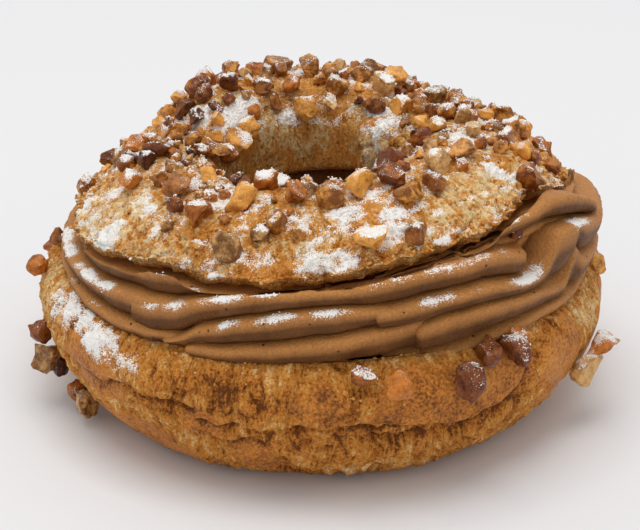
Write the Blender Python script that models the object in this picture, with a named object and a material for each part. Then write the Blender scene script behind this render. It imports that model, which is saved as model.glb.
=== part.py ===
"""Paris-Brest: a ring of choux pastry, split level and filled with piped praline cream.

Run it with  blender --background --python part.py  or from Blender's text editor.
Metres, +Z up. The origin is on the floor, under the middle of the ring.
Three solids: choux_base, praline_cream and choux_lid.
"""

import math

import bmesh
import bpy
from mathutils import Vector, noise

# Driving dimensions.
OUTER_RADIUS = 0.0447  # the base ring at its widest
HOLE_RADIUS = 0.0140  # the base ring's hole
BASE_HEIGHT = 0.0222  # floor to the level cut
WAIST_HEIGHT = 0.0155  # where the base ring is widest
FOOT_OUTER = 0.0325  # the flat that it was baked on, outside and inside
FOOT_INNER = 0.0250
RIM_OUTER = 0.0404  # the cut edge of the base, outside and inside
RIM_INNER = 0.0172

LID_RADIUS = 0.0386  # the lid's torn outer edge
LID_HOLE_RADIUS = 0.0140
LID_HOLE_EDGE = 0.0331  # floor to the lid's cut face at its hole, on the axis
LID_HOLE_RISE = 0.0016  # that edge is this much higher towards +X
LID_CREST_RADIUS = 0.0235  # the top of the dome
LID_CREST = 0.0093  # cut face to the top of the dome, before the dome is made uneven
LID_LIP = 0.0012  # the lid's thickness at its torn edge
LID_SKIRT = 0.0032  # how far the wall of the hole hangs below the cut face
LID_SKIRT_WIDTH = 0.0046
LID_HOLE_SHIFT = Vector((-0.0020, -0.0015, 0.0))  # the hole isn't in the middle of the lid

CREAM_OUTER = 0.0432  # the cream's ridges, outside and inside
CREAM_INNER = 0.0175
STROKE_WIDTH = 0.0095  # from the middle of a piped stroke to its ridges
INNER_WIDTH = 0.0065
RIDGE_DEPTH = 0.0019
OUTER_RIDGES = 3  # on the outside of a stroke, from the star nozzle
INNER_RIDGES = 3

CLEARANCE = 0.00040  # between two solids that touch
STATIONS = 96  # steps round a choux ring
STROKE_STATIONS = 13  # steps along a piped stroke

# Piped strokes, which run anticlockwise seen from above, each until the next starts. Where each
# starts in degrees from +X, how far its ridges climb along it, how far they hang at its start, and
# how far it stands out of the ring at its start and at its end.
STROKES = (
    (-198, 0.0002, 0.0008, -0.0020, -0.0004),
    (-131, 0.0034, 0.0016, 0.0004, -0.0008),
    (-80, 0.0026, 0.0022, 0.0006, 0.0000),
    (-38, 0.0008, 0.0000, 0.0016, -0.0008),
    (12, 0.0014, 0.0010, -0.0010, -0.0014),
    (62, 0.0014, 0.0008, 0.0000, -0.0010),
    (112, 0.0010, 0.0012, 0.0000, -0.0016),
)

# Round the lid: (degrees from +X, height over the floor). The cut face at the torn outer edge, which the
# cream lifts most at the right of the front, and the top of the dome.
LID_RIM = (
    (-180, 0.0280),
    (-160, 0.0296),
    (-136, 0.0312),
    (-112, 0.0321),
    (-90, 0.0332),
    (-70, 0.0356),
    (-42, 0.0380),
    (-18, 0.0368),
    (0, 0.0336),
    (18, 0.0324),
    (60, 0.0324),
    (100, 0.0326),
    (130, 0.0316),
    (155, 0.0282),
)
LID_TOP = (
    (-180, 0.0390),
    (-150, 0.0396),
    (-120, 0.0402),
    (-90, 0.0412),
    (-60, 0.0428),
    (-30, 0.0438),
    (-8, 0.0432),
    (12, 0.0424),
    (26, 0.0424),
    (40, 0.0400),
    (52, 0.0404),
    (64, 0.0430),
    (85, 0.0434),
    (110, 0.0434),
    (130, 0.0430),
    (143, 0.0410),
    (153, 0.0374),
    (167, 0.0380),
)

# Where the lid's outline leaves its circle: (angle in degrees, half width in degrees, depth).
# A positive depth is a piece torn away and a negative one a flap.
LID_TEARS = (
    (-34, 15, 0.0024),
    (-12, 12, 0.0012),
    (-57, 9, -0.0010),
    (-128, 10, 0.0006),
    (-155, 18, -0.0012),
    (90, 75, 0.0014),
)


def arc(centre, radii, first_deg, last_deg, count):
    """Points of an ellipse's arc, as (radius, height)."""
    points = []
    for i in range(count):
        angle = math.radians(first_deg + (last_deg - first_deg) * i / (count - 1))
        points.append((centre[0] + radii[0] * math.cos(angle), centre[1] + radii[1] * math.sin(angle)))
    return points


def bulge(centre, radii, first_deg, last_deg, count, squareness):
    """An arc as above, but straighter between its ends where the squareness is less than 2."""
    points = []
    for r, z in arc((0.0, 0.0), (1.0, 1.0), first_deg, last_deg, count):
        r = math.copysign(abs(r) ** (2 / squareness), r)
        z = math.copysign(abs(z) ** (2 / squareness), z)
        points.append((centre[0] + radii[0] * r, centre[1] + radii[1] * z))
    return points


def base_section():
    """The base ring's section, anticlockwise from its outer foot."""
    low = (OUTER_RADIUS - FOOT_OUTER, WAIST_HEIGHT)
    outer_low = bulge((FOOT_OUTER, WAIST_HEIGHT), low, -90, 0, 5, 1.6)
    shoulder = (OUTER_RADIUS - 0.0065, WAIST_HEIGHT)
    outer_high = arc(shoulder, (0.0065, 0.0072), 22, 73, 3)[:-1] + [(RIM_OUTER, BASE_HEIGHT)]
    inner_high = arc((HOLE_RADIUS + 0.0050, 0.0130), (0.0050, 0.0088), 140, 180, 2)
    inner_low = arc((FOOT_INNER, 0.0130), (FOOT_INNER - HOLE_RADIUS, 0.0130), 215, 270, 3)
    middle = [((RIM_OUTER + RIM_INNER) / 2, BASE_HEIGHT)]
    return outer_low + outer_high + middle + [(RIM_INNER, BASE_HEIGHT)] + inner_high + inner_low


def lid_section():
    """The lid's section over its own cut face, anticlockwise from its torn outer edge."""
    outside = bulge((LID_CREST_RADIUS, 0.0), (LID_RADIUS - LID_CREST_RADIUS, LID_CREST), 6, 90, 6, 1.45)
    shoulder = (LID_CREST_RADIUS, LID_CREST * 0.35)
    inside = arc(shoulder, (LID_CREST_RADIUS - LID_HOLE_RADIUS, LID_CREST * 0.65), 115, 180, 4)
    skirt = [(LID_HOLE_RADIUS + 0.0004, -LID_SKIRT), (LID_HOLE_RADIUS + LID_SKIRT_WIDTH, 0.0)]
    return [(LID_RADIUS - 0.0006, 0.0)] + [(r, max(z, LID_LIP)) for r, z in outside] + inside + skirt


def spun(section):
    """A closed ring: the section turned about +Z."""
    mesh = bmesh.new()
    corners = [mesh.verts.new((r, 0.0, z)) for r, z in section]
    edges = [mesh.edges.new((a, b)) for a, b in zip(corners, corners[1:] + corners[:1])]
    bmesh.ops.spin(
        mesh,
        geom=corners + edges,
        cent=(0, 0, 0),
        axis=(0, 0, 1),
        angle=math.tau,
        steps=STATIONS,
        use_merge=True,
    )
    bmesh.ops.recalc_face_normals(mesh, faces=mesh.faces)
    return mesh


def lumps(point, size, seed):
    """Smooth unevenness from -1 to 1, with bumps about this size across."""
    return noise.noise(point / size + Vector((seed, 0.0, 0.0)))


def outward(point):
    """The direction away from the ring's axis."""
    return Vector((point.x, point.y, 0.0)).normalized()


def shape_base(mesh):
    """Bakes the ring uneven: it bulges outside and inside, between the flat foot and the level cut."""
    for vert in mesh.verts:
        height = vert.co.z / BASE_HEIGHT
        side = math.sin(math.pi * min(1.0, height * 1.15))
        swell = 0.0010 * lumps(vert.co, 0.022, 3.0) + 0.0006 * lumps(vert.co, 0.009, 8.0)
        vert.co += outward(vert.co) * swell * side


def lid_torn(angle):
    """How far the lid's edge stands back from its circle at this angle, in radians."""
    back = 0.0003 * math.sin(11 * angle) + 0.0003 * math.sin(23 * angle + 1.0)
    for centre, half_width, depth in LID_TEARS:
        off = (math.degrees(angle) - centre + 180) % 360 - 180
        if abs(off) < half_width:
            back += depth * math.cos(math.pi * off / half_width / 2) ** 2
    return back


def round_ring(table, angle):
    """A table's height at an angle in degrees: a smooth closed curve through its entries."""
    entries = [(table[-1][0] - 360, table[-1][1])] + list(table)
    entries += [(at + 360, height) for at, height in table[:2]]
    for before, low, high, after in zip(entries, entries[1:], entries[2:], entries[3:]):
        if low[0] <= angle <= high[0]:
            step = high[0] - low[0]
            t = (angle - low[0]) / step
            leaving = (high[1] - before[1]) / (high[0] - before[0]) * step
            arriving = (after[1] - low[1]) / (after[0] - low[0]) * step
            eased = t * t * (3 - 2 * t)
            bend = leaving * t * (1 - t) ** 2 - arriving * t * t * (1 - t)
            return low[1] + (high[1] - low[1]) * eased + bend


def lid_height(x, y):
    """Height of the lid's cut face over the floor."""
    angle = math.atan2(y, x)
    across = (math.hypot(x, y) - LID_HOLE_RADIUS) / (LID_RADIUS - LID_HOLE_RADIUS)
    hole_edge = LID_HOLE_EDGE + LID_HOLE_RISE * math.cos(angle)
    return hole_edge + (round_ring(LID_RIM, math.degrees(angle)) - hole_edge) * min(1.0, max(0.0, across))


def shape_lid(mesh):
    """Tears the lid's edge, sets its hole off centre, makes the dome uneven and bends it over the cream."""
    for vert in mesh.verts:
        radius = math.hypot(vert.co.x, vert.co.y)
        angle = math.atan2(vert.co.y, vert.co.x)
        across = (radius - LID_HOLE_RADIUS) / (LID_RADIUS - LID_HOLE_RADIUS)
        crest = (LID_CREST_RADIUS * math.cos(angle), LID_CREST_RADIUS * math.sin(angle))
        fullness = (round_ring(LID_TOP, math.degrees(angle)) - lid_height(*crest)) / LID_CREST
        dome = max(0.0, vert.co.z / LID_CREST)
        bump = 0.0006 * lumps(vert.co, 0.013, 21.0) * dome
        over_cut = vert.co.z + max(0.0, vert.co.z - LID_LIP) * (fullness - 1)
        vert.co -= outward(vert.co) * lid_torn(angle) * max(0.0, across) ** 3
        vert.co += LID_HOLE_SHIFT * (1 - across)
        vert.co.z = over_cut + bump + lid_height(vert.co.x, vert.co.y)


def ceiling(x, y):
    """How high the cream can reach: up to the lid, or past it where it stands outside the lid's edge."""
    from_hole = math.hypot(x - LID_HOLE_SHIFT.x, y - LID_HOLE_SHIFT.y)
    in_skirt = (LID_HOLE_RADIUS + LID_SKIRT_WIDTH + 0.0006 - from_hole) / LID_SKIRT_WIDTH
    past_edge = math.hypot(x, y) - LID_RADIUS + lid_torn(math.atan2(y, x)) - 0.0032
    drop = LID_SKIRT * min(1.0, max(0.0, in_skirt))
    return lid_height(x, y) - drop + max(0.0, past_edge) - CLEARANCE


def ridges(count):
    """Down one side of a stroke, each corner's place from the middle (1 to -1) and its groove's depth.

    A ridge is rounded, with two corners, and the groove between two ridges is narrow.
    """
    corners = []
    for i in range(count):
        for across, groove in ((0.0, 1.0), (0.32, 0.15), (0.68, 0.15)):
            corners.append((1 - 2 * (i + across) / count, groove))
    return corners + [(-1.0, 1.0)]


def stroke_section(angle, along, stroke):
    """The cream's section here, as (radius, height), from its top round the outside to the inside."""
    climb, hang, stand_out, stand_out_end = stroke[1:]
    start = (1 - min(1.0, along * 3.0)) ** 2
    out = stand_out + (stand_out_end - stand_out) * along - 0.0016 * start
    under_lid = lid_height(CREAM_OUTER * math.cos(angle), CREAM_OUTER * math.sin(angle))
    half_height = (under_lid - BASE_HEIGHT) / 2 + 0.0006
    middle = (under_lid + BASE_HEIGHT) / 2 + climb * (along - 0.5) - hang * start
    points = []
    for rise, groove in ridges(OUTER_RIDGES):
        fullness = (1 - abs(rise) ** 2.6) ** (1 / 2.6)
        radius = CREAM_OUTER - STROKE_WIDTH + (STROKE_WIDTH + out) * fullness
        points.append((radius - RIDGE_DEPTH * groove * fullness, middle + half_height * rise))
    for rise, groove in reversed(ridges(INNER_RIDGES)):
        fullness = (1 - abs(rise) ** 2.6) ** (1 / 2.6)
        radius = CREAM_INNER + INNER_WIDTH * (1 - fullness)
        points.append((radius + RIDGE_DEPTH * groove * fullness, middle + half_height * rise))
    return points


def piped_cream():
    """The ring of cream: one section after another along the strokes, each joined to the next."""
    mesh = bmesh.new()
    rings = []
    starts = [stroke[0] for stroke in STROKES] + [STROKES[0][0] + 360]
    for stroke, end in zip(STROKES, starts[1:]):
        for i in range(STROKE_STATIONS):
            along = i / (STROKE_STATIONS - 1)
            angle = math.radians(stroke[0] + (end - stroke[0] - 0.9) * along)
            ring = []
            for radius, height in stroke_section(angle, along, stroke):
                x, y = radius * math.cos(angle), radius * math.sin(angle)
                height = max(BASE_HEIGHT + CLEARANCE, min(ceiling(x, y), height))
                ring.append(mesh.verts.new((x, y, height)))
            rings.append(ring)
    for ring, following in zip(rings, rings[1:] + rings[:1]):
        pairs = pairs_round(ring) + pairs_round(following)
        edges = [mesh.edges.get(pair) or mesh.edges.new(pair) for pair in pairs]
        bmesh.ops.bridge_loops(mesh, edges=edges)
    return mesh


def pairs_round(ring):
    """Each vertex of a closed ring with the next one."""
    return list(zip(ring, ring[1:] + ring[:1]))


def material(name, colour, roughness):
    """A Principled BSDF with this colour, given as linear red, green and blue."""
    made = bpy.data.materials.new(name)
    made.use_nodes = True
    shader = made.node_tree.nodes["Principled BSDF"]
    shader.inputs["Base Color"].default_value = (*colour, 1.0)
    shader.inputs["Roughness"].default_value = roughness
    shader.inputs["Metallic"].default_value = 0.0
    return made


def placed(name, mesh, finish):
    """Turns a bmesh into a named solid."""
    bmesh.ops.recalc_face_normals(mesh, faces=mesh.faces)
    data = bpy.data.meshes.new(name)
    mesh.to_mesh(data)
    mesh.free()
    made = bpy.data.objects.new(name, data)
    bpy.context.scene.collection.objects.link(made)
    data.materials.append(finish)
    data.shade_smooth()
    data.set_sharp_from_angle(angle=math.radians(50))
    return made


def main():
    for old in list(bpy.data.objects):
        bpy.data.objects.remove(old)

    crust = material("golden_choux_crust", (0.40, 0.18, 0.055), 0.75)
    pale_crust = material("pale_choux_crust", (0.58, 0.35, 0.12), 0.8)
    praline = material("praline_mousseline", (0.29, 0.15, 0.065), 0.6)

    base = spun(base_section())
    shape_base(base)
    placed("choux_base", base, crust)
    placed("praline_cream", piped_cream(), praline)
    lid = spun(lid_section())
    shape_lid(lid)
    placed("choux_lid", lid, pale_crust)


main()
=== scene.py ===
"""Looks of a Paris-Brest: a baked choux ring, split and filled with piped praline cream.

Metres, +Z up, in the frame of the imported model. Angles run anticlockwise from +X seen from above,
in degrees, so the front is at -90. The tables below are in degrees and millimetres.
"""

import math
import random

import bmesh
import bpy
from bpy.props import FloatProperty, FloatVectorProperty, IntProperty, PointerProperty
from mathutils import Matrix, Vector, noise
from mathutils.bvhtree import BVHTree


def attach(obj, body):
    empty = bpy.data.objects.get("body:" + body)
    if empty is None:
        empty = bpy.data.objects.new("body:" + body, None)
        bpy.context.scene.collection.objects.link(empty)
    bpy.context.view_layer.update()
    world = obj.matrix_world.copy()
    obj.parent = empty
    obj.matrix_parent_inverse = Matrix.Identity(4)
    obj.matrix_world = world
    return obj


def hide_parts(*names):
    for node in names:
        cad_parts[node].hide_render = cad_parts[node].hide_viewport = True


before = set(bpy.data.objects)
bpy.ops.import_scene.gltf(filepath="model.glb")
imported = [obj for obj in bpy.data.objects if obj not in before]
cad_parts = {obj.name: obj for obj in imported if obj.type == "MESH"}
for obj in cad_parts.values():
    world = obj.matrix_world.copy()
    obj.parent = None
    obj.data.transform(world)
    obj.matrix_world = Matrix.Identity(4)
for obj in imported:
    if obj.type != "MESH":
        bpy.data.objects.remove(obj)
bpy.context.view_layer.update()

bl_info = {
    "name": "Paris-Brest",
    "version": (1, 0, 0),
    "blender": (4, 5, 0),
    "location": "3D View > Sidebar > Paris-Brest",
    "description": "Builds the crust, piped cream, chopped nuts and icing sugar of a Paris-Brest",
    "category": "Add Mesh",
}

MM = 0.001

# Base ring.
OUTER_RADIUS = 0.0447
HOLE_RADIUS = 0.0140
BASE_HEIGHT = 0.0222
WAIST_HEIGHT = 0.0155
FOOT_OUTER = 0.0325
FOOT_INNER = 0.0250
RIM_OUTER = 0.0404
RIM_INNER = 0.0172
SHOULDER_WIDTH = 0.0065
SHOULDER_RISE = 0.0072
BROW_WIDTH = 0.0050
BROW_START = 0.0130
BROW_RISE = 0.0088

# Lid.
LID_RADIUS = 0.0386
LID_HOLE_RADIUS = 0.0140
LID_HOLE_EDGE = 0.0331
LID_HOLE_RISE = 0.0016
LID_CREST_RADIUS = 0.0235
LID_CREST = 0.0093
LID_LIP = 0.0012
LID_SKIRT = 0.0032
LID_SKIRT_WIDTH = 0.0046
LID_HOLE_SHIFT = Vector((-0.0020, -0.0015, 0.0))
LID_RIM = (
    (-180, 0.0280),
    (-160, 0.0296),
    (-136, 0.0312),
    (-112, 0.0321),
    (-90, 0.0332),
    (-70, 0.0356),
    (-42, 0.0380),
    (-18, 0.0368),
    (0, 0.0336),
    (18, 0.0324),
    (60, 0.0324),
    (100, 0.0326),
    (130, 0.0316),
    (155, 0.0282),
)
LID_TOP = (
    (-180, 0.0390),
    (-150, 0.0396),
    (-120, 0.0402),
    (-90, 0.0412),
    (-60, 0.0428),
    (-30, 0.0438),
    (-8, 0.0432),
    (12, 0.0424),
    (26, 0.0424),
    (40, 0.0400),
    (52, 0.0404),
    (64, 0.0430),
    (85, 0.0434),
    (110, 0.0434),
    (130, 0.0430),
    (143, 0.0410),
    (153, 0.0374),
    (167, 0.0380),
)
LID_TEARS = (
    (-34, 15, 0.0024),
    (-12, 12, 0.0012),
    (-57, 9, -0.0010),
    (-128, 10, 0.0006),
    (-155, 18, -0.0012),
    (90, 75, 0.0014),
)

# Smooth browned skin on the side of the base, where the rest tore open as it rose:
# (angle, height, half width in degrees, half height, strength).
BASE_SKINS = (
    (-141, 15, 11, 5, 1.1),
    (-130, 5, 18, 4, 1.0),
    (-113, 13, 5, 3, 0.8),
    (-103, 7, 6, 3.5, 1.0),
    (-91, 17, 5, 3.5, 0.8),
    (-66, 17, 19, 5, 1.3),
    (-50, 18, 6, 4, 1.0),
    (-36, 14, 9, 7, 0.8),
    (-8, 12, 14, 6, 0.9),
    (22, 15, 12, 6, 1.0),
    (55, 10, 15, 6, 1.0),
    (88, 15, 13, 5, 1.0),
    (118, 8, 12, 6, 0.9),
    (150, 15, 15, 5, 1.1),
)

# Creases in the side of the base, where the dough above folds over the crust below: how deep and
# how wide, how far the crust below steps back, and the line as (angle, height).
BASE_CREASES = (
    (0.9, 0.5, 0.7, ((-45, 20.0), (-47, 17.5), (-50, 14.5), (-54, 12.6),
                     (-61, 12.0), (-72, 12.5), (-86, 13.6), (-95, 13.2))),
    (0.7, 0.45, 0.5, ((-96, 5.5), (-99, 9.5), (-104, 10.5), (-109, 8.6), (-113, 9.5))),
    (0.7, 0.4, 0.3, ((-93, 4.0), (-98, 3.6), (-103, 4.4))),
    (0.6, 0.5, 0.3, ((-117, 18.0), (-120, 14.5), (-118, 11.0))),
    (0.8, 0.5, 0.6, ((28, 13.0), (45, 15.5), (66, 14.0), (80, 11.5))),
    (0.7, 0.5, 0.5, ((100, 9.0), (118, 13.0), (135, 11.5))),
    (0.7, 0.5, 0.5, ((158, 10.0), (168, 8.5), (178, 7.5), (186, 7.0))),
)

# Browned places on the lid: (angle, radius, half width in degrees, half length, strength).
LID_SKINS = (
    (95, 15, 60, 6, 0.6),
    (-101, 37, 8, 1.8, 0.9),
    (-70, 30, 14, 4, 0.6),
    (-121, 30, 9, 4, 0.5),
    (-45, 24, 16, 5, 0.6),
    (170, 27, 14, 6, 0.6),
    (20, 27, 20, 6, 0.7),
)

# Crust that stayed pale, on the lid by radius and on the base by height.
LID_PALES = (
    # The first entry is painted light: it makes the crust paler on the wall inside the lid's hole, which
    # lies in shade.
    (100, 13, 60, 6, 0.42),
    (28, 11, 34, 5, 1.4),
    (-152, 34, 24, 7, 1.1),
    (-128, 37, 12, 3, 0.8),
    (-45, 33, 22, 6, 0.9),
    (-25, 35, 10, 4, 0.9),
)
BASE_PALES = (
    (-117, 17, 7, 3, 0.6),
    (-168, 17, 14, 6, 1.2),
    (-80, 4, 14, 2.2, 0.7),
    (-20, 18, 12, 4, 0.9),
    (-24, 11, 14, 4, 0.45),
    (-30, 7, 10, 3, 0.5),
    (40, 18, 20, 4, 0.8),
    (130, 16, 18, 5, 0.8),
)

# Where crumb swells into the lid's hole.
HOLE_LUMPS = (
    (24, 14, 16, 3.2, 1.0),
    (44, 14.5, 11, 2.4, 0.8),
    (8, 15, 10, 2.4, 0.7),
)

# Places on the side of the base painted darker as painted shade, under the cream's overhang and over the
# lower front: (angle, height, half width in degrees, half height, strength).
BASE_PAINTED_SHADE = (
    (-108, 17, 17, 4.2, 1.1),
    (-84, 18.5, 8, 2, 0.7),
    (-95, 11, 8, 3, 0.6),
    (-76, 9, 30, 12, 0.30),
)

# Where icing sugar lies thick: (angle, radius or height, half width in degrees, half length, amount).
LID_SUGAR = (
    (-163, 22, 5, 2.6, 1.3),
    (158, 22.5, 6, 2.2, 1.2),
    (-124, 27, 7, 3.2, 1.5),
    (-118, 27, 4, 2, 1.0),
    (-108, 27.5, 4, 2, 0.9),
    (-146, 37, 5, 3.6, 1.5),
    (-141, 31.5, 5, 2, 1.0),
    (-133, 33.5, 3, 2.6, 0.9),
    (-167, 36, 5, 2.6, 1.1),
    (-160, 32, 6, 3, 0.9),
    (154, 20.5, 8, 2.4, 1.3),
    (-109, 35.5, 6, 1.8, 0.9),
    (-103, 36, 5, 1.8, 0.9),
    (-90, 36.5, 8, 2.6, 1.15),
    (-84, 37, 6, 2, 1.15),
    (-93, 31.8, 3, 1.6, 1.1),
    (-81, 29.3, 8, 2.4, 1.3),
    (-84, 31.5, 6, 2, 0.9),
    (-70, 31.8, 6, 2.2, 1.3),
    (-62, 32, 4, 1.6, 0.9),
    (-63, 37.6, 3.4, 0.8, 1.2),
    (-33, 32.5, 3.5, 4, 1.5),
    (-31, 35, 3, 2, 1.1),
    (-75, 35, 4, 2.4, 1.1),
    (-71, 34.4, 5, 3, 1.1),
    (-51, 21, 6, 2.4, 1.2),
    (-60, 33.7, 4, 1.4, 0.8),
    (-47, 34, 5, 1.4, 0.9),
    (-25, 24, 5, 1.6, 1.0),
    (-11, 28, 4, 2.4, 1.2),
    (30, 14, 24, 4, 1.25),
    (50, 18, 14, 2.4, 1.3),
    (134, 17, 24, 2.6, 1.5),
    (145, 21, 10, 2.4, 1.2),
    (104, 14.6, 14, 1.6, 1.0),
    (150, 26.5, 5, 3, 1.2),
    (178, 31, 6, 2.4, 1.0),
)
BASE_SUGAR = (
    (-154, 20.0, 9, 3.0, 0.95),
    (-146, 20.5, 8, 2.6, 1.05),
    (-138, 19.4, 7, 2.8, 1.2),
    (-130, 18.0, 5, 2.6, 0.85),
    (-163, 5.5, 3, 1.6, 1.0),
    (24, 20.5, 9, 2.4, 1.1),
    (100, 20.0, 12, 2.6, 1.2),
    (160, 20.5, 8, 2.4, 1.0),
)

# Piped strokes of cream. Each runs anticlockwise from its start to its end, and has its ridges from
# the top down; a ridge is the line of its crest, as (angle, radius, height), from where it starts.
STROKES = (
    (-206, -108, (
        ((-204, 38.0, 29.0), (-175, 37.6, 28.4), (-160, 38.6, 29.2), (-150, 39.8, 30.4),
         (-132, 39.8, 31.8), (-108, 39.2, 33.2)),
        ((-203, 40.6, 26.2), (-176, 40.6, 26.2), (-164, 41.2, 26.8), (-155, 41.3, 26.8),
         (-144, 41.3, 26.9), (-131, 41.2, 27.8), (-108, 40.2, 29.4)),
        ((-202, 41.0, 23.8), (-176, 41.0, 23.9), (-160, 41.5, 24.0), (-151, 41.8, 23.6),
         (-140, 42.0, 23.2), (-127, 41.6, 23.4), (-108, 40.4, 24.6)),
        ((-201, 40.8, 22.8), (-160, 40.8, 22.0), (-140, 40.8, 20.6), (-108, 40.0, 21.4)),
    )),
    (-135, -64, (
        ((-132, 39.6, 32.2), (-125, 39.9, 32.8), (-115, 40.0, 33.3), (-105, 39.6, 34.5),
         (-95, 38.8, 36.0), (-64, 38.0, 38.0)),
        ((-133, 41.2, 27.3), (-124, 41.6, 27.9), (-114, 41.6, 30.2), (-102, 41.5, 32.5),
         (-90, 41.2, 33.2), (-64, 40.0, 33.4)),
        ((-127, 42.0, 21.6), (-119, 42.0, 23.8), (-114, 42.0, 26.2), (-101, 42.0, 29.0),
         (-92, 42.0, 30.3), (-81, 41.8, 30.5), (-64, 40.4, 30.4)),
        ((-118, 42.2, 22.9), (-106, 42.2, 23.9), (-94, 42.2, 25.3), (-82, 42.2, 26.8),
         (-73, 41.8, 27.7), (-64, 40.6, 28.4)),
        ((-114, 40.8, 20.2), (-64, 40.2, 22.4)),
    )),
    (-92, 14, (
        ((-90, 38.2, 36.0), (-80, 38.6, 37.0), (-64, 39.2, 38.4), (-50, 39.0, 38.6), (-40, 38.6, 38.4),
         (14, 38.0, 38.0)),
        ((-90, 40.2, 33.2), (-82, 41.0, 33.7), (-74, 41.5, 34.8), (-62, 41.9, 35.4), (-51, 42.0, 35.4),
         (-45, 41.8, 34.4), (-42.5, 39.2, 34.6), (-36, 39.4, 36.4), (14, 40.4, 35.0)),
        ((-80, 42.0, 29.9), (-66, 42.8, 31.3), (-57, 43.0, 31.5), (-51, 43.0, 30.7), (-44, 43.0, 30.1),
         (-40.5, 43.0, 30.4), (-38.8, 43.2, 32.0), (-37, 43.5, 35.2), (-34, 43.9, 35.8),
         (-26, 44.3, 34.8), (-17, 44.5, 33.0), (14, 43.2, 31.4)),
        ((-71.5, 42.2, 26.9), (-62, 43.0, 28.4), (-51, 43.0, 28.1), (-42, 43.0, 27.3),
         (-34, 43.0, 26.2), (-31.6, 43.2, 27.2), (-30, 43.5, 31.4), (-28.4, 43.5, 31.0),
         (-26.4, 43.9, 28.8), (-20, 44.3, 28.1), (14, 42.8, 26.8)),
        ((-72, 41.0, 21.4), (-52, 42.3, 23.2), (-40, 42.8, 23.8), (-30, 43.0, 23.5), (14, 42.0, 22.2)),
    )),
    (-63, 0, (
        ((-60, 38.4, 40.4), (-40, 38.6, 42.0), (-28, 39.0, 41.0), (-16, 38.6, 38.4), (0, 37.6, 36.0)),
        ((-60, 40.2, 36.9), (-54, 40.6, 37.8), (-49, 41.0, 39.2), (-42, 41.4, 39.8), (-35, 42.0, 40.2),
         (-29, 42.8, 39.4), (-23, 43.4, 37.6), (-17, 43.8, 35.0), (-10, 43.0, 33.0), (0, 40.6, 31.6)),
        ((-61, 38.6, 35.2), (-50, 39.0, 35.8), (-38, 40.0, 36.2), (-26, 42.0, 34.6), (-14, 42.0, 32.0),
         (0, 39.6, 29.6)),
    )),
    (6, 74, (
        ((8, 38.6, 32.4), (40, 38.6, 32.4), (74, 38.0, 32.0)),
        ((5, 42.0, 30.4), (30, 42.2, 30.4), (52, 42.0, 30.6), (74, 40.6, 30.6)),
        ((10, 43.0, 27.2), (34, 43.0, 27.4), (56, 42.4, 27.6), (74, 41.0, 27.6)),
        ((15, 43.0, 24.0), (38, 42.8, 24.2), (58, 42.2, 24.4), (74, 40.8, 24.4)),
        ((20, 41.2, 21.4), (74, 40.6, 23.0)),
    )),
    (58, 128, (
        ((60, 38.6, 32.6), (90, 38.6, 32.6), (128, 37.6, 31.6)),
        ((57, 41.4, 30.2), (82, 41.8, 30.8), (104, 41.6, 30.8), (128, 40.2, 30.0)),
        ((63, 42.4, 27.0), (86, 42.6, 27.6), (108, 42.0, 27.6), (128, 40.8, 27.2)),
        ((68, 42.4, 23.8), (90, 42.2, 24.2), (110, 41.8, 24.4), (128, 40.6, 24.4)),
        ((73, 41.0, 20.6), (128, 40.2, 22.0)),
    )),
    (108, 166, (
        ((110, 38.2, 32.0), (140, 38.0, 30.0), (166, 37.4, 28.6)),
        ((107, 41.4, 29.4), (128, 41.4, 29.2), (148, 40.8, 27.4), (166, 39.8, 26.2)),
        ((113, 42.0, 25.4), (134, 42.0, 25.4), (152, 41.4, 24.6), (166, 40.2, 23.8)),
        ((118, 41.6, 21.8), (140, 41.4, 22.8), (166, 40.2, 22.4)),
    )),
)

# Sugar on the crests of the cream: (stroke, ridge, first angle, last angle, amount).
CREAM_SUGAR = (
    (0, 1, -178, -133, 1.2),
    (0, 2, -158, -140, 0.55),
    (1, 0, -131, -113, 1.2),
    (1, 1, -131, -96, 1.1),
    (1, 2, -112, -82, 1.0),
    (2, 1, -82, -47, 0.8),
    (2, 2, -74, -56, 0.9),
    (2, 2, -53, -38, 1.1),
    (2, 2, -33, -18, 1.2),
    (3, 1, -50, -40, 1.2),
    (3, 1, -22, -8, 1.0),
    (4, 1, 12, 50, 1.0),
    (4, 2, 20, 44, 0.7),
    (5, 1, 70, 104, 1.0),
    (6, 1, 116, 146, 1.0),
)

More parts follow.
